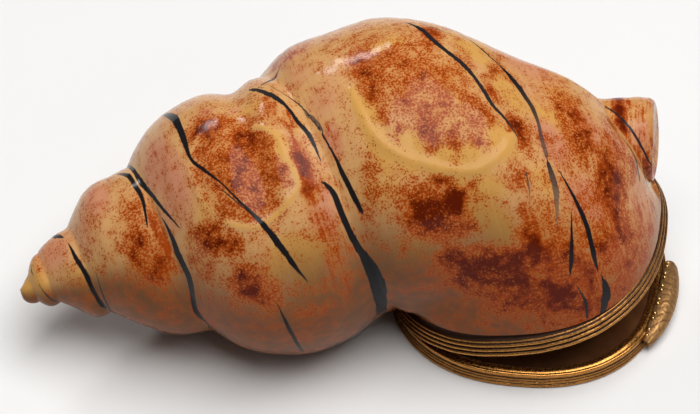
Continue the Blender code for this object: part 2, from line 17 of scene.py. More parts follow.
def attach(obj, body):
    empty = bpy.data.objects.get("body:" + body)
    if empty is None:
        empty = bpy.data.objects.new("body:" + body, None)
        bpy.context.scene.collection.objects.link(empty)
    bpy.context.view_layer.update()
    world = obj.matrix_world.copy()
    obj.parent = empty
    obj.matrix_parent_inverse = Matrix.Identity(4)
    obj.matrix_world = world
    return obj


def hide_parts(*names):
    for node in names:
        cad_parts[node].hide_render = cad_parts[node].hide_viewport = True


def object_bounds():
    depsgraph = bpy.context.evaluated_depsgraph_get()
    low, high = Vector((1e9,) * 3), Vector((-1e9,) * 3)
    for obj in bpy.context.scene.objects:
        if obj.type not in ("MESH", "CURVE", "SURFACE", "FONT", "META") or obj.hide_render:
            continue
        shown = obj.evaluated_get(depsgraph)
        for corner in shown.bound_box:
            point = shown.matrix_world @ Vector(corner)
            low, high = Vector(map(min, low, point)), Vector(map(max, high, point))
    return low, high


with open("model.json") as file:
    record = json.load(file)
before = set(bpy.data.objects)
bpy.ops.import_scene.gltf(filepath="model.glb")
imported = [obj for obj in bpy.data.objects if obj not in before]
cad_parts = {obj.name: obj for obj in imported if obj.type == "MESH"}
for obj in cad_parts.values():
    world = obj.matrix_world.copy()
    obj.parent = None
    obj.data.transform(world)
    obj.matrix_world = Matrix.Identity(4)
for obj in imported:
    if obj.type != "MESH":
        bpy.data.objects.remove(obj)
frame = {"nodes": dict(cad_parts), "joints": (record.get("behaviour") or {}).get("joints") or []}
CAD_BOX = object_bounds()

# ---------------------------------------------------------------- the part's own dimensions, in millimetres
MM = 0.001
REST_OPENING = 13.2            # degrees that the shell stands open
OVAL_HALF_WIDTH = 19.2
OVAL_FRONT = 21.6
OVAL_BACK = 17.4
OVAL_FRONT_POWER = 2.35
OVAL_BACK_POWER = 2.05
OVAL_TURN = math.radians(-20.0)
BASE_TOP = 2.5
REEDS_TOP = 4.65
SLEEVE_TOP = 8.0
APEX_X = -68.4
AXIS_Y = 3.0
AXIS_HEIGHT = 15.8
SHELL_EDGE = 2.55
SHELL_TILT = 2.2
SHELL_SEAT = (0.33, 1.41)
SHELL_LENGTH = 87.0
WALL = 2.6
SUTURE_GROWTH = (5.31, 1.03, -0.033)
SUTURE_TILT = (0.11, 0.028)
SUTURE_RADIUS = (21.0, 24.9)
WHORL_SWELL = 0.095
SHOULDER = 0.126
TURNS_DRAWN = 5
SHELL_EDGE_INSET = 0.3
CANAL_Y = 0.0
CANAL_START = (70.0, 1.3, 5.3)
CANAL_END = (86.7, -6.5, 6.1)
CANAL_SLANT = 0.3
CANAL_EXTRA = 2.0              # its front side is drawn longer than the solid's
CANAL_LIP = 0.9
CANAL_HOLLOW = 0.8
CANAL_RAISED = 0.3              # drawn a little above the solid's axis
CANAL_BURIED = 6.0              # how far from the solid's start the drawn tube starts
CANAL_LOW_FRONT = 2.3           # angle, in radians, at which the tube is drawn in the most
CANAL_LOW_SHRINK = 0.2
CANAL_LOW_SETBACK = 1.2
CANAL_COLUMNS = 120
BURIED_DEPTH = 1.2              # nothing of the canal is drawn deeper than this inside the shell
LEAST_CANAL_RUST = 0.38
HINGE_DIRECTION = math.radians(-10.8)
HINGE_OUTSET = 1.9
KNUCKLE_RADIUS = 0.85
KNUCKLE_LENGTH = 2.5
KNUCKLE_GAP = 0.3
PIN_RADIUS = 0.4
PIN_OVERHANG = 0.25
CLASP_CENTRE = math.radians(-36.5)
CLASP_HALF_LENGTH = 7.9
CLASP_BACK = ((0.5, 0.4), (0.5, 1.3), (0.5, 2.1), (0.25, 2.7), (-0.3, 3.0), (-0.75, 3.1))
CLASP_THICKNESS = (0.35, 1.25, 1.5, 1.1, 0.6, 0.3)
CLASP_TURN = (0.0, 0.0, 15.0, 45.0, 60.0, 60.0)
RIDGE_STATIONS = (26, 36, 44, 50, 55, 60, 65, 69, 73, 77, 80, 82.5, 84.5, 86.5)
RIDGE_HEIGHTS = (18.5, 20.0, 21.0, 20.9, 20.3, 19.7, 17.8, 14.6, 10.5, 6.3, 1.6, -3.0, -7.0, -12.5)
LEVEL_RIDGE = 50.0              # beyond this station the spire's formula holds the ridge level
RIDGE_LEAN_STATIONS = (50, 76, 80, 84, 88, 90)
RIDGE_LEAN = (0.0, 0.0, -1.5, -4.0, -6.0, -6.5)
BACK_SWELL = 3.0
BULGE_SCALE = 9.5               # brings the bulge's highest point to about 1
BACK_POWER_STATIONS = (50, 58, 64, 70, 76, 79, 90)
BACK_POWERS = (2.9, 2.7, 2.3, 1.8, 1.45, 1.3, 1.15)
FRONT_POWER = 2.3
UPPER_TRIM_STATIONS = (0, 3, 6, 9, 12, 16, 20, 24, 28, 32, 35, 38, 42, 48, 60)
UPPER_TRIM = (-1.1, 1.0, 0.1, -0.1, 0.4, -0.1, 0.4, 0.4, 0.0, -0.3, -1.0, 0.5, 0.7, 0.0, 0.0)
LOWER_TRIM_STATIONS = (0, 3, 6, 9, 12, 14, 18, 22, 26, 30, 36, 42, 46)
LOWER_TRIM = (1.0, 0.5, -0.9, -0.3, -1.3, -1.3, -0.5, 0.1, 0.8, 0.5, 0.2, -0.2, -0.8)
SECTION_LEAN = (-5.0, 66.0, 86.0)   # how far the sections' centres move, and between which stations
SECTION_DROP = (-12.6, 60.0, 84.0)
BODY_JOIN = (49.0, 60.0)        # stations between which the spire's shape gives way to the body whorl's
BODY_JOIN_UPPER = (6.0, 8.0)    # how much later it does so on the upper side
LOWER_WHORL_DEPTH = 18.5
NO_LIMIT = 45.0                 # a radius larger than any of the shell's
STEP_STATION = 46.2            # left of it the lower whorl is whole, right of it the porcelain is cut flat

# ---------------------------------------------------------------- curves and the rims' outline
def ramp(low, high, value):
    """Smooth step from 0 at low to 1 at high."""
    t = np.clip((value - low) / (high - low), 0.0, 1.0)
    return t * t * (3.0 - 2.0 * t)


def wrapped(degrees):
    """The same angle between -180 and 180 degrees."""
    return (degrees + 180.0) % 360.0 - 180.0


def full_turn(count):
    """Evenly spaced angles, once round."""
    return np.arange(count) * 2.0 * np.pi / count


def distance_out(points):
    """How far points are from the middle of the rims, seen from above."""
    return np.hypot(points[..., 0], points[..., 1])


def drawn_out(points, factor):
    """Points moved away from the middle of the rims by a factor, at their own heights."""
    return np.stack([points[..., 0] * factor, points[..., 1] * factor, points[..., 2]], -1)


def hump(value, middle, length):
    """Smooth rise from 0 to 1 at the middle and back to 0, over about this length on each side."""
    return np.exp(-((value - middle) / length) ** 2)


def curve_through(stations, heights, value):
    """Smooth curve through a few given stations, level beyond its ends."""
    xs = np.array(stations, float)
    ys = np.array(heights, float)
    slopes = np.gradient(ys, xs)
    value = np.clip(value, xs[0], xs[-1])
    i = np.clip(np.searchsorted(xs, value) - 1, 0, len(xs) - 2)
    span = xs[i + 1] - xs[i]
    t = (value - xs[i]) / span
    near = (1 + 2 * t) * (1 - t) ** 2 * ys[i] + t * (1 - t) ** 2 * span * slopes[i]
    far = t * t * (3 - 2 * t) * ys[i + 1] + t * t * (t - 1) * span * slopes[i + 1]
    return near + far


def blend_larger(a, b, width):
    """The larger of two values, with a rounded change from one to the other."""
    h = np.clip(0.5 + 0.5 * (a - b) / width, 0.0, 1.0)
    return b + (a - b) * h + width * h * (1.0 - h)


def blend_smaller(a, b, width):
    """The smaller of two values, with a rounded change from one to the other."""
    return -blend_larger(-a, -b, width)


def oval(outset=0.0, count=1440):
    """Points of the rims' outline, moved outwards by outset, anticlockwise from the right."""
    t = np.linspace(0.0, 2.0 * np.pi, count, endpoint=False)
    c = np.cos(t)
    s = np.sin(t)
    power = np.where(s < 0, OVAL_FRONT_POWER, OVAL_BACK_POWER)
    x = OVAL_HALF_WIDTH * np.sign(c) * np.abs(c) ** (2.0 / power)
    y = np.where(s < 0, OVAL_FRONT, OVAL_BACK) * np.sign(s) * np.abs(s) ** (2.0 / power)
    points = np.stack([x, y], 1)
    points = points + outset * outward_normals(points)
    turn = np.array([[math.cos(OVAL_TURN), -math.sin(OVAL_TURN)], [math.sin(OVAL_TURN), math.cos(OVAL_TURN)]])
    return points @ turn.T


def outward_normals(points):
    """Outward directions of a closed line of points that runs anticlockwise."""
    chord = np.roll(points, -1, 0) - np.roll(points, 1, 0)
    chord /= np.linalg.norm(chord, axis=1)[:, None]
    return np.stack([chord[:, 1], -chord[:, 0]], 1)


def outline_frames(count):
    """Evenly spaced outline points and their outward normals."""
    dense = oval()
    closed = np.vstack([dense, dense[:1]])
    run = np.concatenate([[0.0], np.cumsum(np.linalg.norm(np.diff(closed, axis=0), axis=1))])
    at = np.arange(count) * run[-1] / count
    points = np.stack([np.interp(at, run, closed[:, k]) for k in range(2)], 1)
    return points, outward_normals(points)


def oval_edges(x):
    """Front and back edges of the porcelain's outline at x, and the outline's left and right ends."""
    points = oval(-SHELL_EDGE_INSET)
    left = int(points[:, 0].argmin())
    right = int(points[:, 0].argmax())
    front = np.vstack([points[left:], points[:right + 1]])
    back = points[right:left + 1][::-1]
    edges = [np.interp(x, side[:, 0], side[:, 1]) for side in (front, back)]
    return edges[0], edges[1], points[left, 0], points[right, 0]


HINGE_TOWARDS_OPENING = np.array([math.cos(HINGE_DIRECTION), math.sin(HINGE_DIRECTION)])
HINGE_OFFSET = float((oval() @ HINGE_TOWARDS_OPENING).min()) - HINGE_OUTSET


# ---------------------------------------------------------------- the whelk's surface
def suture_station(turns):
    """Distance from the apex of the seam between whorls, after a number of turns."""
    level, growth, easing = SUTURE_GROWTH
    phase = 2.0 * np.pi * (turns + 0.125)
    tilt = SUTURE_TILT[0] * np.cos(phase) + SUTURE_TILT[1] * np.sin(phase)
    return 2.0 ** (level + growth * turns + easing * turns * turns + tilt)


def suture_radius(station):
    """Radius of the shell at a seam between whorls."""
    limit, length = SUTURE_RADIUS
    return limit * (1.0 - np.exp(-station / length))


def ridge_height(station):
    """Height of the last whorl's ridge above the axis."""
    return curve_through(RIDGE_STATIONS, RIDGE_HEIGHTS, station)


def upper_share(angle):
    """From 1 on the side that faces up and back to 0 on the side opposite."""
    return np.cos((angle + np.pi / 4.0) / 2.0) ** 2


def whorl_radius(station, last_turn):
    """Radius of the coiled tube where the last seam lies at last_turn."""
    high = suture_station(last_turn)
    high_radius = suture_radius(high)
    ridge = ridge_height(np.minimum(station, LEVEL_RIDGE))
    ridge_at_seam = ridge_height(np.minimum(high, LEVEL_RIDGE))
    past = np.maximum(station - high, 0.0)
    radius = ridge - (ridge_at_seam - high_radius) * np.exp(-(past / (SHOULDER * high)) ** 1.27)
    for turn in range(1, TURNS_DRAWN + 1):
        if turn < TURNS_DRAWN:
            low = suture_station(last_turn - turn)
            low_radius = suture_radius(low)
            v = np.clip((station - low) / (high - low), 0.0, 1.0)
            swell = WHORL_SWELL * high * np.sin(np.pi * v ** 0.85)
            whorl = low_radius + (high_radius - low_radius) * v + swell
        else:
            low = np.zeros_like(station)
            low_radius = low
            v = np.clip(station / high, 0.0, 1.0)
            whorl = high_radius * np.sqrt(1.0 - (1.0 - v) ** 2)
        radius = np.where(station < high, whorl, radius)
        high = low
        high_radius = low_radius
    return radius


def spire_radius(station, angle):
    """Radius of the spire; the last seam dies out on the hidden underside."""
    turns = (angle / (2.0 * np.pi)) % 1.0
    fade = ramp(0.5, 0.72, turns)
    radius = (1.0 - fade) * whorl_radius(station, turns) + fade * whorl_radius(station, turns - 1.0)
    upper = upper_share(angle)
    radius = radius + curve_through(UPPER_TRIM_STATIONS, UPPER_TRIM, station) * upper
    trim = curve_through(LOWER_TRIM_STATIONS, LOWER_TRIM, station) * (1.0 - ramp(44.0, 50.0, station))
    return radius + trim * (1.0 - upper)


def section_centre(station):
    """Point each cross-section is measured from: on the axis, then down and forward at the canal end."""
    lean, drop = [amount * ramp(start, end, station) for amount, start, end in (SECTION_LEAN, SECTION_DROP)]
    return lean, drop


def body_radius(station, angle, centre):
    """Distance from the axis to the body whorl, which spreads from its ridge down to the rim."""
    x = APEX_X + station
    front, back, left, right = oval_edges(x)
    front = front - AXIS_Y
    back = back - AXIS_Y
    ridge_y = curve_through(RIDGE_LEAN_STATIONS, RIDGE_LEAN, station)
    back_power = curve_through(BACK_POWER_STATIONS, BACK_POWERS, station)
    floor = SHELL_EDGE - AXIS_HEIGHT
    height = np.maximum(ridge_height(station) - floor, 0.001)
    swell = BACK_SWELL * ramp(46.0, 56.0, station) * (1.0 - ramp(66.0, 84.0, station))
    in_outline = (x > left + 0.05) & (x < right - 0.05)

    def inside(radius):
        y = centre[0] - radius * np.sin(angle)
        z = centre[1] + radius * np.cos(angle)
        up = np.clip((z - floor) / height, 0.0, None)
        bulge = swell * BULGE_SCALE * up * np.clip(1.0 - up, 0.0, 1.0) ** 3
        half = np.maximum(np.where(y < ridge_y, ridge_y - front, back - ridge_y + bulge), 0.001)
        power = np.where(y < ridge_y, FRONT_POWER, back_power)
        return (np.abs(y - ridge_y) / half) ** power + up ** power < 1.0

    low = np.full_like(station, 0.1)
    for step in np.arange(0.5, 40.0, 0.5):
        low = np.where(inside(np.full_like(station, step)), step, low)
    high = low + 0.5
    for _ in range(12):
        middle = (low + high) / 2.0
        hit = inside(middle)
        low = np.where(hit, middle, low)
        high = np.where(hit, high, middle)
    return np.where(in_outline, low, 0.0)


def table_limit(station, angle, centre):
    """Distance from the axis to the table when the shell stands open on its lower whorl."""
    theta = math.radians(REST_OPENING - SHELL_TILT)
    opening = math.radians(REST_OPENING)
    hinge_height = BASE_TOP + SHELL_SEAT[0] * math.sin(opening) + SHELL_SEAT[1] * math.cos(opening)
    ux, uy = HINGE_TOWARDS_OPENING
    out = (APEX_X + station) * ux + (AXIS_Y + centre[0]) * uy - HINGE_OFFSET
    above = out * math.sin(theta) + (AXIS_HEIGHT + centre[1]) * math.cos(theta) + hinge_height
    fall = np.sin(angle) * uy * math.sin(theta) - np.cos(angle) * math.cos(theta)
    return np.where(fall > 0.05, (above - 0.1) / np.maximum(fall, 0.05), NO_LIMIT)


def shell_radius(station, angle, centre=None):
    """Outer radius of the porcelain in each direction, before its lower edge is cut flat."""
    if centre is None:
        centre = section_centre(station)
    upper = upper_share(angle)
    start, end = [at + later * upper for at, later in zip(BODY_JOIN, BODY_JOIN_UPPER)]
    join = ramp(start, end, station)
    radius = spire_radius(station, angle) * (1.0 - join) + body_radius(station, angle, centre) * join
    edge_depth = AXIS_HEIGHT - SHELL_EDGE + 0.6
    depth = LOWER_WHORL_DEPTH - (LOWER_WHORL_DEPTH - edge_depth) * ramp(39.5, 45.8, station)
    depth = depth + 4.0 * ramp(46.6, 50.0, station) + centre[1]
    downward = -np.cos(angle)
    flat = np.where(downward > 0.02, depth / np.maximum(downward, 0.02), NO_LIMIT)
    for limit, width in ((flat, 0.6), (table_limit(station, angle, centre), 1.2)):
        limit = np.minimum(limit, NO_LIMIT)
        radius = np.where(limit < NO_LIMIT, blend_smaller(radius, limit, width), radius)
    return np.maximum(radius, 0.02)


def cavity_radius(station, angle):
    """Radius of the hollow, at least a wall's thickness inside the porcelain in every direction."""
    radius = np.full_like(station, 100.0)
    centre = section_centre(station)
    for share in (-1.0, -0.7, 0.0, 0.7, 1.0):
        shifted = np.clip(station + share * WALL, 0.1, SHELL_LENGTH)
        inner = shell_radius(shifted, angle, centre) - WALL * math.sqrt(1.0 - share * share)
        radius = np.minimum(radius, inner)
    return radius


def seated(x, y, height):
    """Points given with heights above the hinge, leant and shifted to where the rim carries the shell."""
    ux, uy = HINGE_TOWARDS_OPENING
    tilt = math.radians(SHELL_TILT)
    out = x * ux + y * uy - HINGE_OFFSET
    moved = out * math.cos(tilt) + height * math.sin(tilt) + SHELL_SEAT[0]
    z = BASE_TOP - out * math.sin(tilt) + height * math.cos(tilt) + SHELL_SEAT[1]
    return np.stack([x + (moved - out) * ux, y + (moved - out) * uy, z], -1)


def shell_point(station, angle, radius):
    """Point of the closed layout at a distance from each cross-section's centre."""
    lean, drop = section_centre(station)
    y = AXIS_Y + lean - radius * np.sin(angle)
    return seated(APEX_X + station, y, AXIS_HEIGHT + drop + radius * np.cos(angle))


def even_stations(count):
    """Stations evenly spaced along the surface, closer where it turns steeply."""
    s = np.linspace(0.0, SHELL_LENGTH - 0.02, 700)
    run = np.zeros(len(s))
    for angle in (-0.8, 0.4, 1.9):
        radius = shell_radius(s, np.full_like(s, angle))
        step = np.hypot(np.diff(s), np.minimum(np.abs(np.diff(radius)), 1.0))
        run[1:] += np.cumsum(step)
    at = np.linspace(0.3 * run[-1] / count, run[-1] * (1.0 - 0.3 / count), count)
    return np.interp(at, run, s)


# ---------------------------------------------------------------- places in the row frame
def layout_hinge():
    """Middle of the hinge's axis in the closed layout."""
    points = oval()
    nearest = points[int((points @ HINGE_TOWARDS_OPENING).argmin())]
    along = np.array([HINGE_TOWARDS_OPENING[1], -HINGE_TOWARDS_OPENING[0]])
    centre = HINGE_OFFSET * HINGE_TOWARDS_OPENING + (nearest @ along) * along
    return np.array([centre[0], centre[1], BASE_TOP]), np.array([along[0], along[1], 0.0])


HINGE_PLACE, HINGE_ALONG = layout_hinge()
STAND = np.array(frame["joints"][0]["pos_m"]) / MM - HINGE_PLACE


def on_base(points):
    """Layout points of the lower half, in metres in the row frame."""
    return (np.asarray(points, float) + STAND) * MM


def on_shell(points):
    """Layout points of the upper half, turned about the hinge to where the shell stands open."""
    points = np.asarray(points, float)
    ux, uy = HINGE_TOWARDS_OPENING
    opening = math.radians(REST_OPENING)
    out = points[..., 0] * ux + points[..., 1] * uy - HINGE_OFFSET
    height = points[..., 2] - BASE_TOP
    moved = out * math.cos(opening) - height * math.sin(opening)
    z = BASE_TOP + out * math.sin(opening) + height * math.cos(opening)
    turned = np.stack([points[..., 0] + (moved - out) * ux, points[..., 1] + (moved - out) * uy, z], -1)
    return on_base(turned)


# ---------------------------------------------------------------- mesh and piece helpers
def add_object(name, data):
    """New object of the scene with this mesh, light or camera."""
    made = bpy.data.objects.new(name, data)
    bpy.context.scene.collection.objects.link(made)
    return made


def add_piece(name, points, faces, look, body, smooth=38.0):
    """New piece from points in metres in the row frame, riding on a body."""
    mesh = bpy.data.meshes.new(name)
    mesh.from_pydata(np.asarray(points).reshape(-1, 3).tolist(), [], faces)
    mesh.update()
    mesh.shade_smooth()
    mesh.set_sharp_from_angle(angle=math.radians(smooth))
    mesh.materials.append(look)
    piece = add_object(name, mesh)
    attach(piece, body)
    return piece


def keep_values(piece, **fields):
    """Store one number, or one vector, for each point of a piece for its material to read."""
    for name, values in fields.items():
        values = np.asarray(values, np.float32)
        if values.ndim == 1:
            made = piece.data.attributes.new(name, "FLOAT", "POINT")
            made.data.foreach_set("value", values)
        else:
            made = piece.data.attributes.new(name, "FLOAT_VECTOR", "POINT")
            made.data.foreach_set("vector", values.reshape(-1))


def grid_faces(rows, columns, closed=True, keep=None):
    """Quads joining rows of points, which close on themselves unless told otherwise."""
    faces = []
    for i in range(rows - 1):
        for j in range(columns if closed else columns - 1):
            if keep is None or keep[i, j]:
                k = (j + 1) % columns
                faces.append((i * columns + j, (i + 1) * columns + j, (i + 1) * columns + k, i * columns + k))
    return faces


def end_fan(point, first, count, backwards=False):
    """Triangles from one point to a ring of count points that starts at the index first."""
    ring = [(first + j, first + (j + 1) % count) for j in range(count)]
    return [(point, k, j) if backwards else (point, j, k) for j, k in ring]


def both_ends(rows, columns):
    """Fans that close the first and last of these rings, about two points that come after all the rings."""
    last = rows * columns
    return end_fan(last, 0, columns) + end_fan(last + 1, last - columns, columns, True)


def closed_tube(rows, start, end):
    """Points and faces of rings of points, closed at both ends by fans about one point each."""
    size = rows.shape[:2]
    return np.vstack([rows.reshape(-1, 3), start, end]), grid_faces(*size) + both_ends(*size)


def swept_ring(profile, count):
    """Rows of points of a cross-section of (outset, height) points, swept once round the oval."""
    points, normals = outline_frames(count)
    return np.array([np.column_stack([points + outset * normals, np.full(count, height)])
                     for outset, height in profile])


def ring_faces(sections, count):
    """Quads of a ring whose cross-section closes on itself."""
    faces = []
    for i in range(sections):
        n = (i + 1) % sections
        for j in range(count):
            k = (j + 1) % count
            faces.append((n * count + j, i * count + j, i * count + k, n * count + k))
    return faces


# ---------------------------------------------------------------- material helpers
class Graph:
    """Short names for building one material's nodes."""

    def __init__(self, name):
        self.material = bpy.data.materials.new(name)
        self.material.use_nodes = True
        self.nodes = self.material.node_tree.nodes
        self.links = self.material.node_tree.links
        self.shader = self.nodes["Principled BSDF"]

    def put(self, value, socket):
        if isinstance(value, bpy.types.NodeSocket):
            self.links.new(value, socket)
        else:
            socket.default_value = value

    def set(self, **inputs):
        for name, value in inputs.items():
            self.put(value, self.shader.inputs[name.replace("_", " ")])

    def attribute(self, name, output="Fac"):
        node = self.nodes.new("ShaderNodeAttribute")
        node.attribute_name = name
        return node.outputs[output]

    def place(self):
        return self.nodes.new("ShaderNodeTexCoord").outputs["Object"]

    def calc(self, operation, *values):
        node = self.nodes.new("ShaderNodeMath")
        node.operation = operation
        for value, socket in zip(values, node.inputs):
            self.put(value, socket)
        return node.outputs[0]

    def add(self, first, second):
        return self.calc("ADD", first, second)

    def spread(self, noise, amount):
        """Noise moved to lie about nought, and scaled."""
        return self.calc("MULTIPLY", self.calc("SUBTRACT", noise, 0.5), amount)

    def stretch(self, vector, scale):
        node = self.nodes.new("ShaderNodeMapping")
        self.put(vector, node.inputs["Vector"])
        node.inputs["Scale"].default_value = scale
        return node.outputs[0]

    def span(self, value, low, high, to_low=0.0, to_high=1.0):
        """Smooth change from to_low to to_high as the value goes from low to high."""
        node = self.nodes.new("ShaderNodeMapRange")
        node.interpolation_type = "SMOOTHSTEP"
        for number, key in ((value, "Value"), (low, "From Min"), (high, "From Max"),
                            (to_low, "To Min"), (to_high, "To Max")):
            self.put(number, node.inputs[key])
        return node.outputs["Result"]

    def mix(self, share, first, second):
        node = self.nodes.new("ShaderNodeMix")
        node.data_type = "RGBA"
        for value, index in ((share, 0), (first, 6), (second, 7)):
            self.put(value if isinstance(value, (float, bpy.types.NodeSocket)) else (*value, 1.0),
                     node.inputs[index])
        return node.outputs[2]

    def noise(self, vector, per_mm, detail=3.0, roughness=0.55):
        """Noise with this many features to the millimetre."""
        node = self.nodes.new("ShaderNodeTexNoise")
        self.put(vector, node.inputs["Vector"])
        node.inputs["Scale"].default_value = per_mm / MM
        node.inputs["Detail"].default_value = detail
        node.inputs["Roughness"].default_value = roughness
        return node.outputs["Fac"]

    def bump(self, height, depth_mm, strength=1.0):
        node = self.nodes.new("ShaderNodeBump")
        node.inputs["Strength"].default_value = strength
        node.inputs["Distance"].default_value = depth_mm * MM
        self.put(height, node.inputs["Height"])
        self.put(node.outputs[0], self.shader.inputs["Normal"])


IVORY = (0.53, 0.285, 0.11)
GOLDEN = (0.53, 0.275, 0.07)
BLUSH = (0.49, 0.20, 0.12)
# Painted shade: the brown laid over the porcelain's lower sides, where shade falls.
PAINTED_SHADE_BROWN = (0.125, 0.043, 0.015)
RUST_TINT = (0.40, 0.105, 0.012)
RUST_LIGHT = (0.30, 0.042, 0.004)
RUST_DEEP = (0.085, 0.006, 0.0008)
INK = (0.010, 0.009, 0.010)
INK_THIN = (0.060, 0.048, 0.046)
# How many features of each kind of noise there are to the millimetre.
CLOUDS = 0.16
SPONGE_SPOTS = 3.6
SPONGE_CLUMPS = 0.6
BRUSH_HAIRS = 2.4
BRUSH_STRETCH = (1.0, 0.09, 1.0)
MOTTLES = 0.38


def painted_glaze():
    """Hand-painted porcelain: cream and pink washes, sponged and brushed rust, black strokes and painted
    shade.
    """
    g = Graph("painted_porcelain")
    place = g.place()
    flow = g.attribute("flow", "Vector")
    cloud = g.noise(place, CLOUDS, 3.0)
    sponge = g.noise(place, SPONGE_SPOTS, 3.0, 0.6)
    clump = g.noise(place, SPONGE_CLUMPS, 4.0, 0.6)
    brushed = g.noise(g.stretch(flow, BRUSH_STRETCH), BRUSH_HAIRS, 4.0, 0.6)

    golden = g.span(g.add(g.attribute("golden"), g.spread(cloud, 0.9)), 0.1, 0.8)
    colour = g.mix(golden, IVORY, GOLDEN)
    blush = g.add(g.attribute("blush"), g.spread(brushed, 0.7))
    colour = g.mix(g.calc("MULTIPLY", g.span(blush, 0.1, 0.9), 0.85), colour, BLUSH)
    # Painted shade: brown mixed in as each point's painted_shade says, darker towards the underside.
    painted_shade = g.add(g.attribute("painted_shade"), g.spread(brushed, 0.15))
    colour = g.mix(g.calc("MULTIPLY", g.span(painted_shade, 0.0, 1.0), 0.92), colour, PAINTED_SHADE_BROWN)

    share = g.attribute("brushed")
    sponged = g.calc("MULTIPLY", sponge, g.calc("SUBTRACT", 1.0, share))
    pattern = g.add(sponged, g.calc("MULTIPLY", brushed, share))
    pattern = g.add(pattern, g.spread(clump, 0.36))
    mottle = g.noise(place, MOTTLES, 4.0, 0.6)
    rust = g.add(g.attribute("rust"), g.spread(mottle, 0.7))
    level = g.calc("SUBTRACT", 0.66, g.calc("MULTIPLY", rust, 0.36))
    tint = g.span(g.add(rust, g.spread(clump, 0.7)), 0.1, 0.7)
    colour = g.mix(g.calc("MULTIPLY", tint, 0.8), colour, RUST_TINT)
    spots = g.span(g.calc("SUBTRACT", pattern, level), -0.05, 0.09)
    deep = g.add(rust, g.add(g.spread(clump, 1.3), g.spread(sponge, 0.5)))
    spot_colour = g.mix(g.span(deep, 0.55, 1.02), RUST_LIGHT, RUST_DEEP)
    colour = g.mix(g.calc("MULTIPLY", spots, 0.98), colour, spot_colour)

    for layer in ("a", "b"):
        side = g.calc("ABSOLUTE", g.attribute("stroke_side_" + layer))
        width = g.attribute("stroke_width_" + layer)
        ragged = g.calc("MULTIPLY", width, g.span(brushed, 0.25, 0.75, 0.75, 1.15))
        edge = g.calc("SUBTRACT", ragged, side)
        ink = g.attribute("stroke_ink_" + layer)
        cover = g.calc("MULTIPLY", g.span(edge, -0.06, 0.08), g.span(width, 0.01, 0.06))
        thin = g.mix(g.span(ink, 0.4, 1.0), INK_THIN, INK)
        cover = g.calc("MULTIPLY", cover, g.span(ink, 0.0, 0.9, 0.35, 1.0))
        colour = g.mix(cover, colour, thin)
    gloss = g.span(cloud, 0.3, 0.7, 0.1, 0.18)
    g.set(Base_Color=colour, Roughness=gloss, IOR=1.5, Specular_IOR_Level=0.1)
    g.bump(g.add(g.calc("MULTIPLY", brushed, 0.4), g.noise(place, 1.1, 3.0)), 0.04, 0.4)
    return g.material


def plain_glaze(name, colour, shade):
    """Unpainted glazed porcelain with faint clouding."""
    g = Graph(name)
    cloud = g.noise(g.place(), 0.25, 3.0)
    tone = g.mix(g.span(cloud, 0.3, 0.7), colour, shade)
    g.set(Base_Color=tone, Roughness=g.span(cloud, 0.3, 0.7, 0.14, 0.2), Specular_IOR_Level=0.3)
    g.bump(g.noise(g.place(), 0.9, 2.0), 0.03, 0.4)
    return g.material


def gilt_brass(name, bright, dark, roughness):
    """Antiqued gilt brass: bright on its crests, brown in its grooves, with fine scratches."""
    g = Graph(name)
    place = g.place()
    fine = g.noise(place, 3.2, 4.0, 0.6)
    broad = g.noise(place, 0.45, 3.0)
    scratch = g.noise(g.stretch(place, (0.25, 0.25, 3.0)), 2.6, 3.0)
    # patina: real patina in grooves, painted shade on reed flanks, painted highlight on crests and ledge.
    patina_and_shade_level = g.add(g.attribute("patina"), g.spread(fine, 0.5))
    patina_and_shade_level = g.add(patina_and_shade_level, g.spread(broad, 0.35))
    patina_and_shade_share = g.span(patina_and_shade_level, 0.25, 0.85)
    dull = g.add(fine, g.calc("MULTIPLY", patina_and_shade_share, 0.4))
    g.set(Base_Color=g.mix(patina_and_shade_share, bright, dark), Metallic=g.span(patina_and_shade_share, 0.0, 1.0, 1.0, 0.75),
          Roughness=g.span(dull, 0.3, 1.0, roughness, roughness + 0.3))
    g.bump(g.add(g.calc("MULTIPLY", fine, 0.5), scratch), 0.03, 0.5)
    return g.material


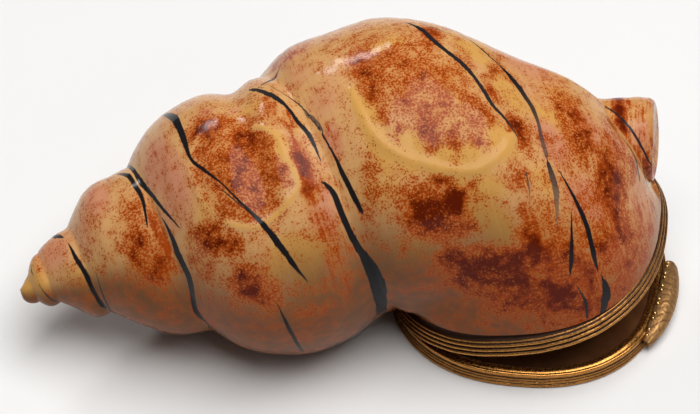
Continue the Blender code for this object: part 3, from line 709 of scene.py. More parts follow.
# ---------------------------------------------------------------- black strokes and raised ridges
# Each stroke: layer, how solid its ink is at its ends, half-widths along it, and its points, which are
# stations and angles in degrees. Strokes that cross or come close are on different layers.
STROKES = [
    ("a", (0.8, 0.6), (0.03, 0.12, 0.12), ((2.9, 51), (3.4, 76), (4.4, 116))),
    ("a", (0.8, 0.8), (0.05, 0.12, 0.05), ((2.5, -4), (2.4, 8), (2.5, 20))),
    ("a", (0.9, 0.8), (0.1, 0.38, 0.1), ((6.2, -38), (7.0, -22), (7.8, -9))),
    ("a", (1.0, 1.0), (0.1, 0.25, 0.3, 0.25, 0.3, 0.25),
     ((8.4, 10), (8.8, 30), (9.4, 53), (9.7, 76), (10.2, 100), (11.1, 118))),
    ("b", (0.7, 0.8), (0.05, 0.12, 0.15, 0.1), ((10.8, 55), (10.7, 75), (10.8, 95), (11.0, 112))),
    ("a", (0.9, 1.0), (0.15, 0.3, 0.28, 0.22, 0.12),
     ((17.4, -26), (18.6, -14), (19.2, 0), (19.6, 14), (19.3, 31))),
    ("b", (0.8, 1.0), (0.2, 0.25, 0.32, 0.3, 0.22, 0.08),
     ((18.6, -42), (19.6, -15), (20.1, -1), (21.0, 14), (21.9, 27), (23.2, 40))),
    ("a", (1.0, 0.8), (0.1, 0.35, 0.5, 0.5, 0.35, 0.3, 0.25),
     ((21.5, 32), (21.9, 44), (22.0, 55), (22.4, 67), (22.1, 85), (22.0, 99), (23.4, 118))),
    ("a", (0.95, 1.0), (0.3, 0.45, 0.4, 0.2, 0.22, 0.1, 0.12, 0.28, 0.38, 0.25, 0.04),
     ((25.7, -34), (26.8, -18), (27.2, -4), (27.3, 12), (28.6, 21), (30.3, 30), (31.4, 37), (33.5, 49),
      (34.8, 59), (36.0, 70), (37.0, 78))),
    ("b", (0.9, 0.9), (0.03, 0.08, 0.05), ((28.6, 25), (30.6, 35), (32.2, 43))),
    ("a", (1.0, 0.8), (0.04, 0.2, 0.25, 0.15), ((32.4, 84), (32.7, 94), (33.1, 105), (33.7, 122))),
    ("a", (0.8, 0.8), (0.08, 0.26, 0.08), ((39.0, -17), (40.6, -22), (42.3, -28))),
    ("a", (0.8, 1.0), (0.25, 0.4, 0.35, 0.2, 0.24, 0.3, 0.08),
     ((37.6, -16), (39.2, -9), (40.4, -3), (41.4, 4), (42.0, 12), (42.9, 20), (43.3, 32))),
    ("b", (0.8, 1.0), (0.04, 0.08, 0.1, 0.14, 0.3, 0.36, 0.28),
     ((40.3, -13), (42.9, 3), (44.2, 17), (45.1, 31), (45.5, 41), (45.9, 49), (46.3, 57))),
    ("b", (0.5, 0.6), (0.1, 0.32, 0.3, 0.1), ((43.2, 6), (43.7, 11), (44.3, 16), (44.7, 20))),
    ("a", (0.9, 1.0), (0.2, 0.34, 0.36, 0.38, 0.45, 0.7, 0.85, 0.8, 0.7),
     ((42.9, 42), (43.6, 47), (43.8, 55), (44.1, 65), (44.7, 75), (45.4, 84), (45.7, 91), (45.7, 105),
      (45.4, 126))),
    ("a", (0.9, 0.8), (0.12, 0.34, 0.36, 0.3, 0.36, 0.3, 0.3, 0.26, 0.2, 0.08),
     ((60.0, -18), (61.2, -12), (62.3, -3), (63.5, 3), (64.7, 8), (65.6, 14), (66.3, 22), (66.8, 28),
      (67.8, 33), (68.5, 39))),
    ("b", (0.6, 0.6), (0.04, 0.12, 0.04), ((61.7, -17), (63.0, -13), (64.4, -10))),
    ("a", (0.7, 0.8), (0.05, 0.12, 0.16, 0.1), ((65.8, -14), (67.3, -9), (68.6, -3), (69.8, 2))),
    ("a", (1.0, 0.5), (0.2, 0.4, 0.4, 0.3, 0.22, 0.26, 0.3),
     ((70.0, 3), (70.8, 8), (71.3, 14), (71.8, 22), (71.8, 29), (71.6, 36), (71.5, 43))),
    ("a", (0.8, 0.3), (0.3, 0.42, 0.4, 0.25, 0.06),
     ((71.4, 47), (71.4, 52), (71.2, 58), (70.7, 64), (69.8, 74))),
    ("b", (0.7, 0.3), (0.1, 0.12, 0.04), ((68.1, 54), (67.9, 59), (67.4, 65))),
    ("b", (1.0, 1.0), (0.06, 0.2, 0.28, 0.3, 0.36, 0.15),
     ((72.5, 48), (73.3, 56), (73.8, 63), (74.0, 70), (73.8, 79), (73.8, 85))),
    ("a", (1.0, 1.0), (0.05, 0.16, 0.25, 0.28, 0.12),
     ((72.4, 64), (71.8, 71), (71.2, 78), (70.5, 85), (70.1, 89))),
    ("b", (1.0, 0.8), (0.1, 0.5, 0.6, 0.35), ((74.2, 88), (74.4, 94), (74.0, 99), (73.2, 105))),
    ("a", (0.9, 0.8), (0.05, 0.2, 0.15), ((70.6, 94), (71.2, 100), (71.0, 107))),
    ("a", (0.9, 0.9), (0.08, 0.2, 0.24, 0.2, 0.08),
     ((80.6, -6), (82.2, 8), (83.4, 22), (84.3, 36), (84.9, 48))),
    ("b", (0.8, 0.7), (0.08, 0.24, 0.2), ((80.8, 14), (82.0, 26), (82.8, 38))),
    ("a", (0.7, 0.7), (0.06, 0.16, 0.08), ((84.4, 54), (84.8, 66), (84.8, 76))),
    # The far side repeats the same kinds of stroke.
    ("a", (1.0, 1.0), (0.1, 0.35, 0.4, 0.3, 0.1),
     ((43.9, -48), (43.5, -70), (43.6, -95), (44.2, -120), (45.0, -134))),
    ("b", (0.9, 0.9), (0.08, 0.22, 0.3, 0.12), ((33.0, -52), (31.0, -72), (30.0, -95), (31.0, -118))),
    ("a", (1.0, 0.8), (0.1, 0.35, 0.35, 0.15), ((22.6, -60), (21.4, -85), (21.2, -108), (22.0, -125))),
    ("b", (0.9, 0.7), (0.06, 0.22, 0.28, 0.1), ((52.5, -42), (53.6, -60), (53.0, -82), (51.6, -104))),
    ("a", (0.9, 0.8), (0.08, 0.3, 0.34, 0.2, 0.06),
     ((61.0, -38), (62.6, -56), (63.2, -74), (62.6, -92), (61.0, -106))),
    ("b", (1.0, 0.8), (0.06, 0.2, 0.3, 0.12), ((70.5, -24), (72.6, -44), (73.4, -66), (72.6, -88))),
    ("a", (0.8, 0.8), (0.05, 0.2, 0.2, 0.08), ((9.6, -50), (9.4, -80), (9.9, -108), (10.6, -125))),
]
# Raised ridges of the moulded ovals: height, half-width, and the stations and angles of each.
RIDGES = [
    (0.168, 0.55,
     ((36.4, 9), (37.9, 13), (39.0, 19), (39.1, 26), (39.6, 33), (39.5, 40), (38.0, 44), (35.8, 48),
      (33.4, 50), (31.2, 49), (29.2, 45))),
    (0.096, 0.5, ((29.0, 4), (27.4, 10), (26.6, 20), (27.0, 31), (28.0, 40))),
    (0.252, 0.8,
     ((49.8, 10), (50.0, 20), (50.6, 30), (52.8, 40), (56.0, 47), (59.0, 52), (61.6, 54), (64.2, 51),
      (66.4, 46), (67.9, 40))),
]
STROKE_STEP = 0.15              # between samples along a line
STROKE_BREADTH = 1.3            # the brush that the half-widths above are multiplied by
STROKE_REACH = 0.3              # how far past a stroke's edge its width still counts
RIDGE_REACH = 2.0
FAR_FROM_LINE = 9.0


def smooth_line(points, widths, count=None):
    """Stations, angles, half-widths and shares of the way along a smooth curve through a line's points."""
    points = np.array(points, float)
    knots = np.arange(len(points))
    if count is None:
        run = np.hypot(np.diff(points[:, 0]), np.radians(np.diff(points[:, 1])) * 15.0).sum()
        count = max(8, int(run / STROKE_STEP))
    at = np.linspace(0.0, len(points) - 1.0, count)
    station = curve_through(knots, points[:, 0], at)
    angle = np.radians(curve_through(knots, points[:, 1], at))
    width = np.interp(at * (len(widths) - 1) / (len(points) - 1), np.arange(len(widths)), widths)
    return station, angle, width, at / (len(points) - 1)


def stroke_fields(layer, side, width, ink):
    """The numbers that the painted glaze reads for one layer of strokes."""
    return {"stroke_side_" + layer: side, "stroke_width_" + layer: width, "stroke_ink_" + layer: ink}


def line_samples(lines):
    """Samples of several lines on the shell: position, sideways direction, half-width and value."""
    samples = []
    for values, widths, points in lines:
        station, angle, width, share = smooth_line(points, widths)
        place = shell_point(station, angle, shell_radius(station, angle))
        along = np.gradient(place, axis=0)
        out = place - shell_point(station, angle, np.zeros_like(station))
        side = np.cross(along, out)
        side /= np.linalg.norm(side, axis=1)[:, None]
        value = values[0] + (values[-1] - values[0]) * share
        for i in range(len(place)):
            samples.append((place[i], side[i], width[i], value[i]))
    return samples


def nearest_line(points, samples, reach):
    """Signed distance to the nearest line, and that line's half-width and value, for points near one."""
    tree = KDTree(len(samples))
    for index, sample in enumerate(samples):
        tree.insert(sample[0], index)
    tree.balance()
    distance = np.full(len(points), FAR_FROM_LINE)
    width = np.zeros(len(points))
    value = np.zeros(len(points))
    for i, point in enumerate(points):
        _, index, gap = tree.find(point)
        if gap > FAR_FROM_LINE:
            continue
        place, side, half, amount = samples[index]
        sign = 1.0 if float(np.dot(point - place, side)) > 0.0 else -1.0
        distance[i] = sign * gap
        value[i] = amount
        if gap < half + reach:
            width[i] = half
    return distance, width, value


# ---------------------------------------------------------------- painted fields
# Patches of colour: station, angle, half-length along the axis and round it in millimetres, strength.
RUST_PATCHES = [
    (40.8, 36, 1.3, 5.0, 0.8), (69.6, 12, 1.4, 4.0, 0.6), (75.4, 24, 1.6, 6.0, 0.7),
    (20.4, 40, 1.0, 5.0, 0.7), (57.0, 92, 3.0, 2.4, 0.9), (68.0, 98, 3.5, 2.0, 0.95),
    (60.0, 104, 5.0, 1.3, 0.75), (79.0, 40, 2.0, 6.0, 0.65), (59.0, 18, 7.0, 9.5, 0.54),
    (33.0, 24, 5.0, 7.5, 0.66), (76.0, 45, 7.0, 12.0, 0.38), (77.0, 80, 6.0, 9.0, 0.6),
    (62.0, 96, 8.0, 4.0, 0.8), (18.0, 45, 2.6, 8.0, 0.55), (30.0, 75, 4.0, 5.0, 0.45),
    (41.0, 55, 1.6, 12.0, 0.5), (66.0, 100, 10.0, 5.0, 0.72), (70.0, 88, 5.0, 7.0, 0.7),
    (55.0, 64, 4.5, 5.0, 0.62), (70.0, 34, 2.6, 9.0, 0.34), (17.2, 20, 1.6, 3.0, 0.45),
    (17.2, 45, 1.8, 3.5, 0.75), (18.5, 60, 2.2, 2.5, 0.7), (16.0, 62, 1.5, 2.5, 0.4),
    (15.0, 30, 1.3, 3.0, 0.35), (8.6, 45, 1.2, 2.5, 0.35), (6.0, 70, 2.0, 1.5, 0.25),
    (12.5, -15, 1.5, 3.0, 0.3), (16.5, -20, 1.8, 3.0, 0.35), (20.5, 50, 1.2, 4.0, 0.45),
    (14.0, 85, 2.5, 2.0, 0.25), (30.5, 2, 3.0, 2.2, 0.8), (34.5, 3, 2.6, 2.0, 0.55),
    (30.5, 14, 3.6, 4.0, 0.62), (35.0, 15, 3.0, 4.5, 0.75), (37.0, 28, 2.4, 4.0, 0.72),
    (33.0, 30, 3.5, 5.0, 0.62), (29.0, 30, 2.6, 4.0, 0.45), (33.0, 42, 4.0, 3.5, 0.62),
    (27.0, 24, 1.0, 4.0, 0.4), (26.6, 50, 2.0, 2.0, 0.85), (29.0, 54, 2.0, 1.6, 0.7),
    (24.6, 56, 1.4, 3.5, 0.6), (29.6, 72, 2.0, 2.4, 0.85), (31.2, 80, 2.2, 2.6, 0.6),
    (26.6, 82, 2.6, 3.0, 0.3), (30.0, 95, 4.0, 3.0, 0.3), (36.0, 92, 3.0, 3.0, 0.38),
    (41.0, 82, 2.2, 5.0, 0.4), (41.4, 60, 2.0, 3.5, 0.5), (40.6, 34, 1.4, 5.0, 0.5),
    (41.2, 14, 1.3, 4.0, 0.45), (38.5, 2, 2.0, 2.4, 0.5), (37.0, 58, 1.4, 1.4, 0.35),
    (26.0, -20, 2.5, 3.0, 0.3), (31.0, -12, 3.5, 2.0, 0.3), (38.0, -12, 2.5, 2.0, 0.3),
    (36.5, 108, 5.0, 4.0, 0.28), (43.5, -36, 2.6, 4.0, 0.5), (48.0, -36, 3.5, 3.0, 0.32),
    (54.0, -14, 3.0, 3.0, 0.42), (58.0, -12, 2.2, 2.0, 0.4), (53.0, 2, 2.6, 5.0, 0.7),
    (52.2, 14, 2.2, 5.5, 0.6), (56.0, 8, 3.4, 6.5, 0.56), (60.0, 10, 3.4, 7.0, 0.5),
    (58.0, 26, 3.0, 6.0, 0.54), (57.4, 36, 1.4, 4.6, 0.75), (60.4, 43, 1.3, 2.6, 0.66),
    (62.5, 32, 3.0, 6.0, 0.5), (65.0, 32, 2.0, 5.0, 0.5), (54.0, 30, 2.4, 4.0, 0.4),
    (61.0, 0, 1.4, 2.0, 0.6), (62.5, -8, 1.2, 2.4, 0.75), (67.2, 22, 0.9, 4.0, 0.6),
    (69.0, 36, 1.3, 2.4, 0.85), (66.0, 2, 1.2, 3.0, 0.35), (69.5, 28, 1.0, 3.0, 0.4),
    (48.4, 48, 1.4, 3.4, 0.5), (47.0, 62, 1.6, 3.0, 0.42), (51.0, 65, 2.2, 3.0, 0.32),
    (48.0, 33, 1.2, 2.0, 0.35), (57.4, 53, 1.6, 1.4, 0.95), (55.0, 58, 1.4, 2.0, 0.8),
    (54.4, 66, 2.6, 3.4, 1.0), (58.6, 64, 2.4, 2.4, 1.0), (57.0, 73, 3.0, 2.4, 0.75),
    (60.8, 61, 0.8, 1.2, 0.8), (52.0, 74, 2.4, 2.0, 0.4), (61.0, 74, 1.0, 1.4, 0.4),
    (56.0, 88, 2.2, 2.4, 0.8), (58.6, 86, 1.6, 1.6, 0.7), (60.0, 94, 3.4, 3.2, 1.0),
    (64.0, 92, 3.4, 2.8, 1.0), (66.6, 84, 2.0, 3.4, 0.95), (66.8, 74, 1.3, 3.4, 0.7),
    (63.2, 102, 4.5, 2.0, 0.8), (69.0, 76, 1.4, 3.0, 0.5), (56.0, 100, 3.0, 3.0, 0.4),
    (53.0, 90, 3.0, 3.0, 0.25), (66.0, 112, 4.0, 3.0, 0.32), (58.0, 113, 5.0, 2.6, 0.3),
    (70.0, 98, 2.6, 3.0, 0.62), (69.6, 104, 3.0, 1.6, 0.75), (67.6, 58, 1.8, 4.0, 0.45),
    (65.0, 57, 2.0, 1.6, 0.42), (69.0, 90, 2.0, 2.0, 0.5), (75.6, 14, 1.4, 3.0, 0.6),
    (75.6, 28, 1.3, 3.0, 0.75), (78.0, 34, 1.6, 3.0, 0.5), (74.4, 41, 2.2, 2.0, 0.45),
    (78.4, 48, 1.5, 4.0, 0.9), (77.4, 58, 1.6, 3.4, 0.6), (78.8, 64, 1.6, 4.4, 0.75),
    (75.0, 68, 2.2, 3.6, 0.5), (77.0, 84, 2.6, 3.4, 0.62), (73.0, 76, 1.6, 3.4, 0.42),
    (72.6, 92, 1.8, 3.0, 0.6), (76.0, 96, 2.0, 2.6, 0.6), (79.6, 78, 1.6, 3.4, 0.62),
    (81.6, 62, 1.2, 3.4, 0.5), (81.6, 30, 1.2, 4.0, 0.45), (79.6, 12, 1.4, 3.0, 0.45),
    (83.4, 84, 1.4, 4.0, 0.4), (71.4, 60, 1.2, 3.0, 0.35),
]
BLUSH_PATCHES = [
    (6.0, 0, 2.4, 3.0, 0.8), (13.6, -8, 1.8, 2.6, 1.0), (11.5, 8, 2.0, 3.0, 0.55), (23.0, 2, 2.0, 4.0, 1.0),
    (24.2, 18, 1.8, 5.0, 0.9), (22.6, 30, 1.6, 3.0, 0.6), (31.0, -9, 1.2, 1.2, 0.7),
    (34.6, -6, 0.8, 1.0, 0.7), (41.6, 55, 1.6, 2.6, 0.9), (42.6, 46, 1.0, 1.6, 0.8),
    (45.6, 26, 1.0, 2.6, 0.9), (46.0, 8, 2.0, 3.0, 0.55), (48.4, -2, 1.6, 3.0, 0.4),
    (44.0, -12, 2.0, 3.0, 0.5), (45.0, -30, 2.4, 3.0, 0.5), (26.6, 90, 3.0, 3.4, 0.8),
    (31.0, 100, 4.0, 3.4, 0.7), (37.0, 104, 4.0, 3.4, 0.6), (20.0, 95, 3.0, 3.0, 0.5),
    (52.0, 100, 4.0, 4.0, 0.6), (60.0, 112, 5.0, 3.4, 0.7), (67.0, 108, 3.4, 3.4, 0.8),
    (72.6, 36, 1.4, 3.0, 1.0), (75.6, 56, 2.2, 2.6, 1.0), (74.0, 58, 1.6, 2.4, 0.8),
    (72.6, 12, 1.6, 2.6, 0.5), (76.6, 78, 1.6, 1.6, 0.9), (73.0, -6, 3.0, 3.4, 0.7),
    (76.8, 22, 1.2, 2.6, 0.8), (82.6, 55, 1.6, 4.0, 0.7), (83.6, 70, 1.6, 4.0, 0.6),
    (79.4, 24, 1.4, 3.0, 0.7), (66.5, 8, 1.2, 2.0, 0.35), (40.4, 78, 1.4, 3.0, 0.5),
]
GOLDEN_PATCHES = [
    (1.5, 40, 2.4, 3.0, 0.9), (8.0, 60, 2.4, 3.0, 0.5), (11.0, 58, 1.4, 2.6, 0.5),
    (16.0, 75, 3.0, 3.0, 0.6), (27.0, 36, 2.0, 3.0, 0.5), (30.0, 24, 3.0, 3.0, 0.4),
    (36.0, -2, 2.4, 1.6, 0.7), (38.8, 24, 1.0, 2.4, 0.9), (36.0, 64, 2.6, 2.4, 1.0),
    (38.0, 72, 2.4, 3.4, 1.0), (33.4, 68, 1.4, 2.4, 0.7), (40.0, 66, 1.2, 3.0, 0.6),
    (51.0, 30, 1.4, 6.0, 1.0), (54.5, 40, 2.2, 3.0, 1.0), (58.0, 47, 2.4, 2.0, 1.0),
    (62.0, 50, 2.6, 2.4, 1.0), (66.0, 42, 2.0, 2.6, 0.9), (55.6, -6, 3.0, 1.6, 0.8),
    (60.0, 20, 5.0, 6.0, 0.45), (50.0, 50, 3.0, 4.0, 0.55), (51.6, 78, 2.2, 2.6, 0.7),
    (60.6, 68, 2.0, 3.4, 0.9), (62.6, 76, 1.6, 3.4, 0.9), (63.0, 60, 2.2, 2.0, 0.8),
    (59.4, 57, 1.4, 1.4, 0.8), (67.0, -2, 2.0, 3.0, 0.8), (69.6, 16, 1.6, 3.4, 0.9),
    (71.6, -2, 2.0, 2.6, 0.6), (73.0, 20, 1.6, 3.0, 0.8), (70.0, 56, 1.6, 2.0, 0.6),
    (69.0, 68, 1.2, 3.0, 0.5), (48.0, 84, 2.0, 4.0, 0.4), (66.0, 93, 1.6, 0.7, 0.8),
    (75.0, 4, 1.6, 3.0, 0.6),
]
# Bands of brushed colour: station, half-length and strength.
BRUSHED_BANDS = ((4.0, 3.0, 0.5), (10.0, 2.0, 0.7), (14.0, 2.0, 0.5), (20.5, 1.8, 0.9), (23.5, 2.0, 0.7),
                 (40.8, 2.2, 0.8), (44.5, 2.4, 1.0), (63.5, 1.2, 0.4), (67.4, 1.4, 0.6), (72.6, 1.8, 0.5),
                 (77.5, 2.2, 0.6), (83.0, 3.0, 0.9))
# How much larger than listed the patches are painted, and the thinnest rust there is.
RUST_SPREAD = 1.2
BLUSH_SPREAD = 1.15
GOLDEN_SPREAD = 1.1
LEAST_RUST = 0.25
FULL_RIDGE = 0.16               # height of ridge at which rust is rubbed off
FAR_SIDE_TURN = -75.0
REACH_STATIONS = (0, 4, 10, 20, 34, 50, 65, 74, 80, 87)
REACHES = (1, 4, 8, 13, 19, 21, 21, 19, 15, 9)


def painted_field(patches, shift, spread, station, degrees):
    """The strongest of the soft patches at each point, mirrored with a shift, and scaled by spread."""
    field = np.zeros_like(station)
    for at, turn, length, girth, strength in patches + mirrored_round(patches, shift):
        across = (station - at) / (length * spread)
        reach = np.maximum(whorl_reach(at), 3.0)
        around = np.radians(np.abs(wrapped(degrees - turn))) * reach / (girth * spread)
        field = np.maximum(field, strength * np.exp(-0.7 * (across ** 2 + around ** 2) ** 1.3))
    return field


def whorl_reach(station):
    """Typical radius of the shell at a station, for measuring round it."""
    return float(np.interp(station, REACH_STATIONS, REACHES))


def mirrored_round(patches, shift):
    """The same kinds of patch on the far side, so that it is painted like the front."""
    far = []
    for at, turn, length, girth, strength in patches:
        moved = SHELL_LENGTH - abs(SHELL_LENGTH - at - shift)
        far.append((moved, FAR_SIDE_TURN - turn, length * 1.15, girth * 1.2, strength * 0.9))
    return far


# ---------------------------------------------------------------- porcelain
OUTER_COLUMNS = 246            # over the outside, from the front lower edge over the top to the back
UNDER_COLUMNS = 40             # round the underside
SHELL_STATIONS = 322
MOUTH_INSET = 2.0               # from the rims' outline to the opening in the porcelain's flat lower face
SHOULDER_CARRY = 2.4            # how far full_shoulder moves the porcelain
FOOT_HEIGHT = 7.0               # up to this height, reach_the_rim draws the porcelain out
LARGEST_GAIN = 0.16             # and at most by this share


def edge_angles(stations):
    """Angles at which the outside meets the flat lower edge, in front and behind, for each station."""
    turns = np.radians(np.linspace(70.0, 180.0, 221))
    edges = []
    for sign in (1.0, -1.0):
        s, a = np.meshgrid(np.maximum(stations, STEP_STATION + 0.05), sign * turns, indexing="ij")
        height = AXIS_HEIGHT + section_centre(s)[1] + shell_radius(s, a) * np.cos(a) - SHELL_EDGE
        below = height < 0.0
        first = np.where(below.any(1), below.argmax(1), len(turns) - 1)
        before = np.maximum(first - 1, 0)
        rows = np.arange(len(stations))
        drop = height[rows, before] - height[rows, first]
        share = np.clip(height[rows, before] / np.where(np.abs(drop) < 1e-6, 1.0, drop), 0.0, 1.0)
        edges.append(sign * (turns[before] + (turns[first] - turns[before]) * share))
    return edges


def shell_grid():
    """Stations and angles of the porcelain's points, with two columns on its lower edge."""
    stations = even_stations(SHELL_STATIONS)
    stations = np.sort(np.concatenate([stations, [STEP_STATION - 0.02, STEP_STATION + 0.02]]))
    front, back = edge_angles(stations)
    outer = np.linspace(0.0, 1.0, OUTER_COLUMNS)
    under = np.arange(1, UNDER_COLUMNS + 1) / (UNDER_COLUMNS + 1.0)
    angles = []
    for high, low in zip(front, back):
        angles.append(np.concatenate([high + (low - high) * outer, low + (high - 2.0 * np.pi - low) * under]))
    angle = np.array(angles)
    station = np.repeat(stations[:, None], angle.shape[1], 1)
    return station, angle


def growth_lines(station, angle):
    """Faint ripples along the growth lines, and the slow unevenness of hand-shaped porcelain."""
    drift = station + 1.2 * np.sin(angle * 1.3 + 0.4)
    ripple = 0.008 * np.sin(drift * 4.1) + 0.014 * np.sin(drift * 2.3 + 1.0)
    slow = 0.06 * np.sin(station * 0.55 + 2.0 * angle) * np.sin(3.0 * angle + 0.3 * station)
    return (ripple + slow) * ramp(1.0, 6.0, station)


def porcelain():
    """The shell's outside, with its ridges and growth lines, cut flat at the rim and open at the mouth."""
    station, angle = shell_grid()
    flat = (station > STEP_STATION) & (np.arange(angle.shape[1])[None, :] >= OUTER_COLUMNS - 1)
    flat[:, 0] = station[:, 0] > STEP_STATION
    bare = shell_radius(station, angle)
    places = shell_point(station, angle, bare)
    samples = []
    for height, half, points in RIDGES:
        samples += line_samples([((height,), (half,), points)])
    ridge_gap, ridge_half, ridge_height = nearest_line(places.reshape(-1, 3), samples, RIDGE_REACH)
    share = np.clip(np.abs(ridge_gap) / np.maximum(ridge_half, 0.01), 0.0, 3.0)
    ridge = (ridge_height * np.exp(-1.4 * share ** 2)).reshape(station.shape)

    relief = (ridge + growth_lines(station, angle)) * (~flat)
    radius = np.maximum(bare + relief, 0.02)
    drop = section_centre(station)[1]
    to_plane = (AXIS_HEIGHT + drop - SHELL_EDGE) / np.maximum(-np.cos(angle), 0.02)
    radius = np.where(flat, np.minimum(to_plane, 40.0), radius)
    layout = full_shoulder(shell_point(station, angle, radius), station, angle)
    layout = reach_the_rim(layout, station)
    points = on_shell(layout)

    rows, columns = station.shape
    mouth = inside_outline((layout[:-1] + layout[1:])[..., :2] / 2.0, -MOUTH_INSET)
    keep = ~(flat[:-1] & flat[1:] & mouth)
    keep[:, OUTER_COLUMNS - 2] = True
    apex = on_shell(seated(APEX_X, AXIS_Y, AXIS_HEIGHT))
    far_lean, far_drop = section_centre(station[-1, 0])
    foot = on_shell(seated(APEX_X + station[-1, 0], AXIS_Y + far_lean, AXIS_HEIGHT + far_drop - 0.4))
    faces = grid_faces(rows, columns, keep=keep) + both_ends(rows, columns)
    skin = np.vstack([points.reshape(-1, 3), apex, foot])
    piece = add_piece("painted_shell", skin, faces, GLAZE, "shell", 50.0)
    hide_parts("shell_body")

    paint_shell(piece, station, np.degrees(angle), places, ridge)
    return piece


def reach_of(edge, points):
    """How far from the middle a closed edge lies in each point's direction."""
    bearing = np.arctan2(edge[:, 1], edge[:, 0])
    order = np.argsort(bearing)
    wanted = np.arctan2(points[..., 1], points[..., 0])
    return np.interp(wanted, bearing[order], distance_out(edge)[order], period=2.0 * np.pi)


def inside_outline(points, outset):
    """Whether each (x, y) lies inside the rims' outline moved by outset."""
    return distance_out(points) < reach_of(oval(outset, 360), points)


def full_shoulder(layout, station, angle):
    """Carry the top of the last whorl a little further along, so that it runs into the canal."""
    degrees = wrapped(np.degrees(angle))
    share = ramp(-55.0, -10.0, degrees) * (1.0 - ramp(18.0, 58.0, degrees))
    share = share * ramp(70.0, 80.0, station) * (1.0 - ramp(81.0, 87.0, station))
    moved = layout.copy()
    moved[..., 0] = layout[..., 0] + SHOULDER_CARRY * share
    return moved


def reach_the_rim(layout, station):
    """Draw the porcelain's foot out to the rim where its round side would leave a gap."""
    cut = station[:, 0] > STEP_STATION
    foot = np.vstack([layout[cut, 0], layout[cut, OUTER_COLUMNS - 1]])
    own = reach_of(foot, layout)
    wanted = reach_of(oval(-SHELL_EDGE_INSET - 0.1, 360), layout)
    gain = np.clip(wanted / own - 1.0, 0.0, LARGEST_GAIN)
    level = np.clip(layout[..., 2] - foot[:, 2].mean(), 0.0, FOOT_HEIGHT)
    share = ramp(0.0, 1.0, 1.0 - level / FOOT_HEIGHT) * ramp(own - 4.0, own, distance_out(layout))
    share = share * ramp(STEP_STATION, STEP_STATION + 1.5, station)
    return drawn_out(layout, 1.0 + gain * share)


def paint_shell(piece, station, degrees, places, ridge):
    """Give the shell's points their densities of colour, their painted shade and their distances to the black
    strokes.
    """
    rust = painted_field(RUST_PATCHES, 2.0, RUST_SPREAD, station, degrees)
    rust = np.maximum(rust, LEAST_RUST)
    blush = painted_field(BLUSH_PATCHES, -1.0, BLUSH_SPREAD, station, degrees)
    golden = painted_field(GOLDEN_PATCHES, 1.0, GOLDEN_SPREAD, station, degrees)
    on_ridge = np.clip(ridge / FULL_RIDGE, 0.0, 1.0)
    rust = rust * (1.0 - 0.85 * on_ridge)
    golden = np.maximum(golden, 0.7 * on_ridge)
    rust = rust * (1.0 - 0.7 * ramp(0.45, 1.0, golden))
    brushed = np.zeros_like(station)
    for at, length, strength in BRUSHED_BANDS:
        brushed = np.maximum(brushed, 0.6 * strength * hump(station, at, length))
    # Painted shade, brown: darker the further a point faces down, and over the lower front of the spire and
    # last whorls.
    underside_shade = np.clip((np.abs(wrapped(degrees)) - 47.0) / 55.0, 0.0, 1.0)
    painted_shade = 0.85 * underside_shade + 0.6 * hump(station, 13.0, 10.0) * ramp(20.0, 75.0, degrees)
    painted_shade = painted_shade + 0.28 * hump(station, 44.0, 14.0) * ramp(35.0, 80.0, degrees)
    arc = np.radians(degrees) * np.interp(station, (0, 10, 20, 50, 87), (2, 8, 13, 21, 19))
    flow = np.stack([station, arc, np.zeros_like(arc)], -1) * MM

    fields = {"rust": rust, "blush": blush, "golden": golden, "brushed": brushed, "painted_shade": painted_shade}
    for layer in ("a", "b"):
        lines = [(ink, np.array(widths) * STROKE_BREADTH, points) for name, ink, widths, points in STROKES
                 if name == layer]
        samples = line_samples(lines)
        nearest = nearest_line(places.reshape(-1, 3), samples, STROKE_REACH)
        fields.update(stroke_fields(layer, *nearest))
    for name, values in fields.items():
        keep_values(piece, **{name: np.concatenate([np.ravel(values), np.ravel(values)[[0, -1]]])})
    keep_values(piece, flow=np.vstack([flow.reshape(-1, 3), flow[0, 0], flow[-1, -1]]))


# Strokes that run on from the shell: half-widths, then station and angle in degrees.
CANAL_STROKES = (
    ((0.05, 0.14, 0.2, 0.2, 0.12), ((81.0, -22), (82.4, -8), (85.3, 20), (87.2, 48), (88.4, 74))),
    ((0.1, 0.2, 0.26, 0.26), ((82.8, 14), (83.8, 26), (85.6, 52), (87.4, 92))),
)
CANAL_STROKE_REACH = 1.2


def nearest_flat_line(station, arc, widths, points):
    """Signed distance to a line drawn on the canal's unrolled side, and the line's half-width there."""
    line_station, angle, width, _ = smooth_line(points, widths, 240)
    line_arc = angle * CANAL_END[2]
    gaps = np.hypot(station[:, None] - line_station, arc[:, None] - line_arc)
    nearest = gaps.argmin(1)
    turn = (station - line_station[nearest]) * np.gradient(line_arc)[nearest]
    turn = turn - (arc - line_arc[nearest]) * np.gradient(line_station)[nearest]
    return gaps.min(1) * np.sign(turn), width[nearest] * (gaps.min(1) < CANAL_STROKE_REACH)


def depth_inside(x, y, height):
    """How deep points of the level layout lie inside the porcelain's outside."""
    station = np.clip(x - APEX_X, 0.1, SHELL_LENGTH)
    lean, drop = section_centre(station)
    across = y - AXIS_Y - lean
    up = height - AXIS_HEIGHT - drop
    return shell_radius(station, np.arctan2(-across, up)) - np.hypot(across, up)


def canal_rings():
    """Station, share of the radius and inset of each ring: the tube, its rounded lip and its hollow."""
    end = CANAL_END[0] + CANAL_EXTRA
    rings = [(at, 1.0, 0.0) for at in np.linspace(CANAL_START[0] + CANAL_BURIED, end - CANAL_LIP, 80)]
    for turn in np.radians(np.linspace(4.0, 90.0, 14)):
        rings.append((end - CANAL_LIP + CANAL_LIP * math.sin(turn), 1.0, CANAL_LIP * (1.0 - math.cos(turn))))
    for share in np.linspace(0.94, 0.05, 14):
        rings.append((end - CANAL_HOLLOW * (1.0 - share ** 2), share * (1.0 - CANAL_LIP / CANAL_END[2]), 0.0))
    return rings


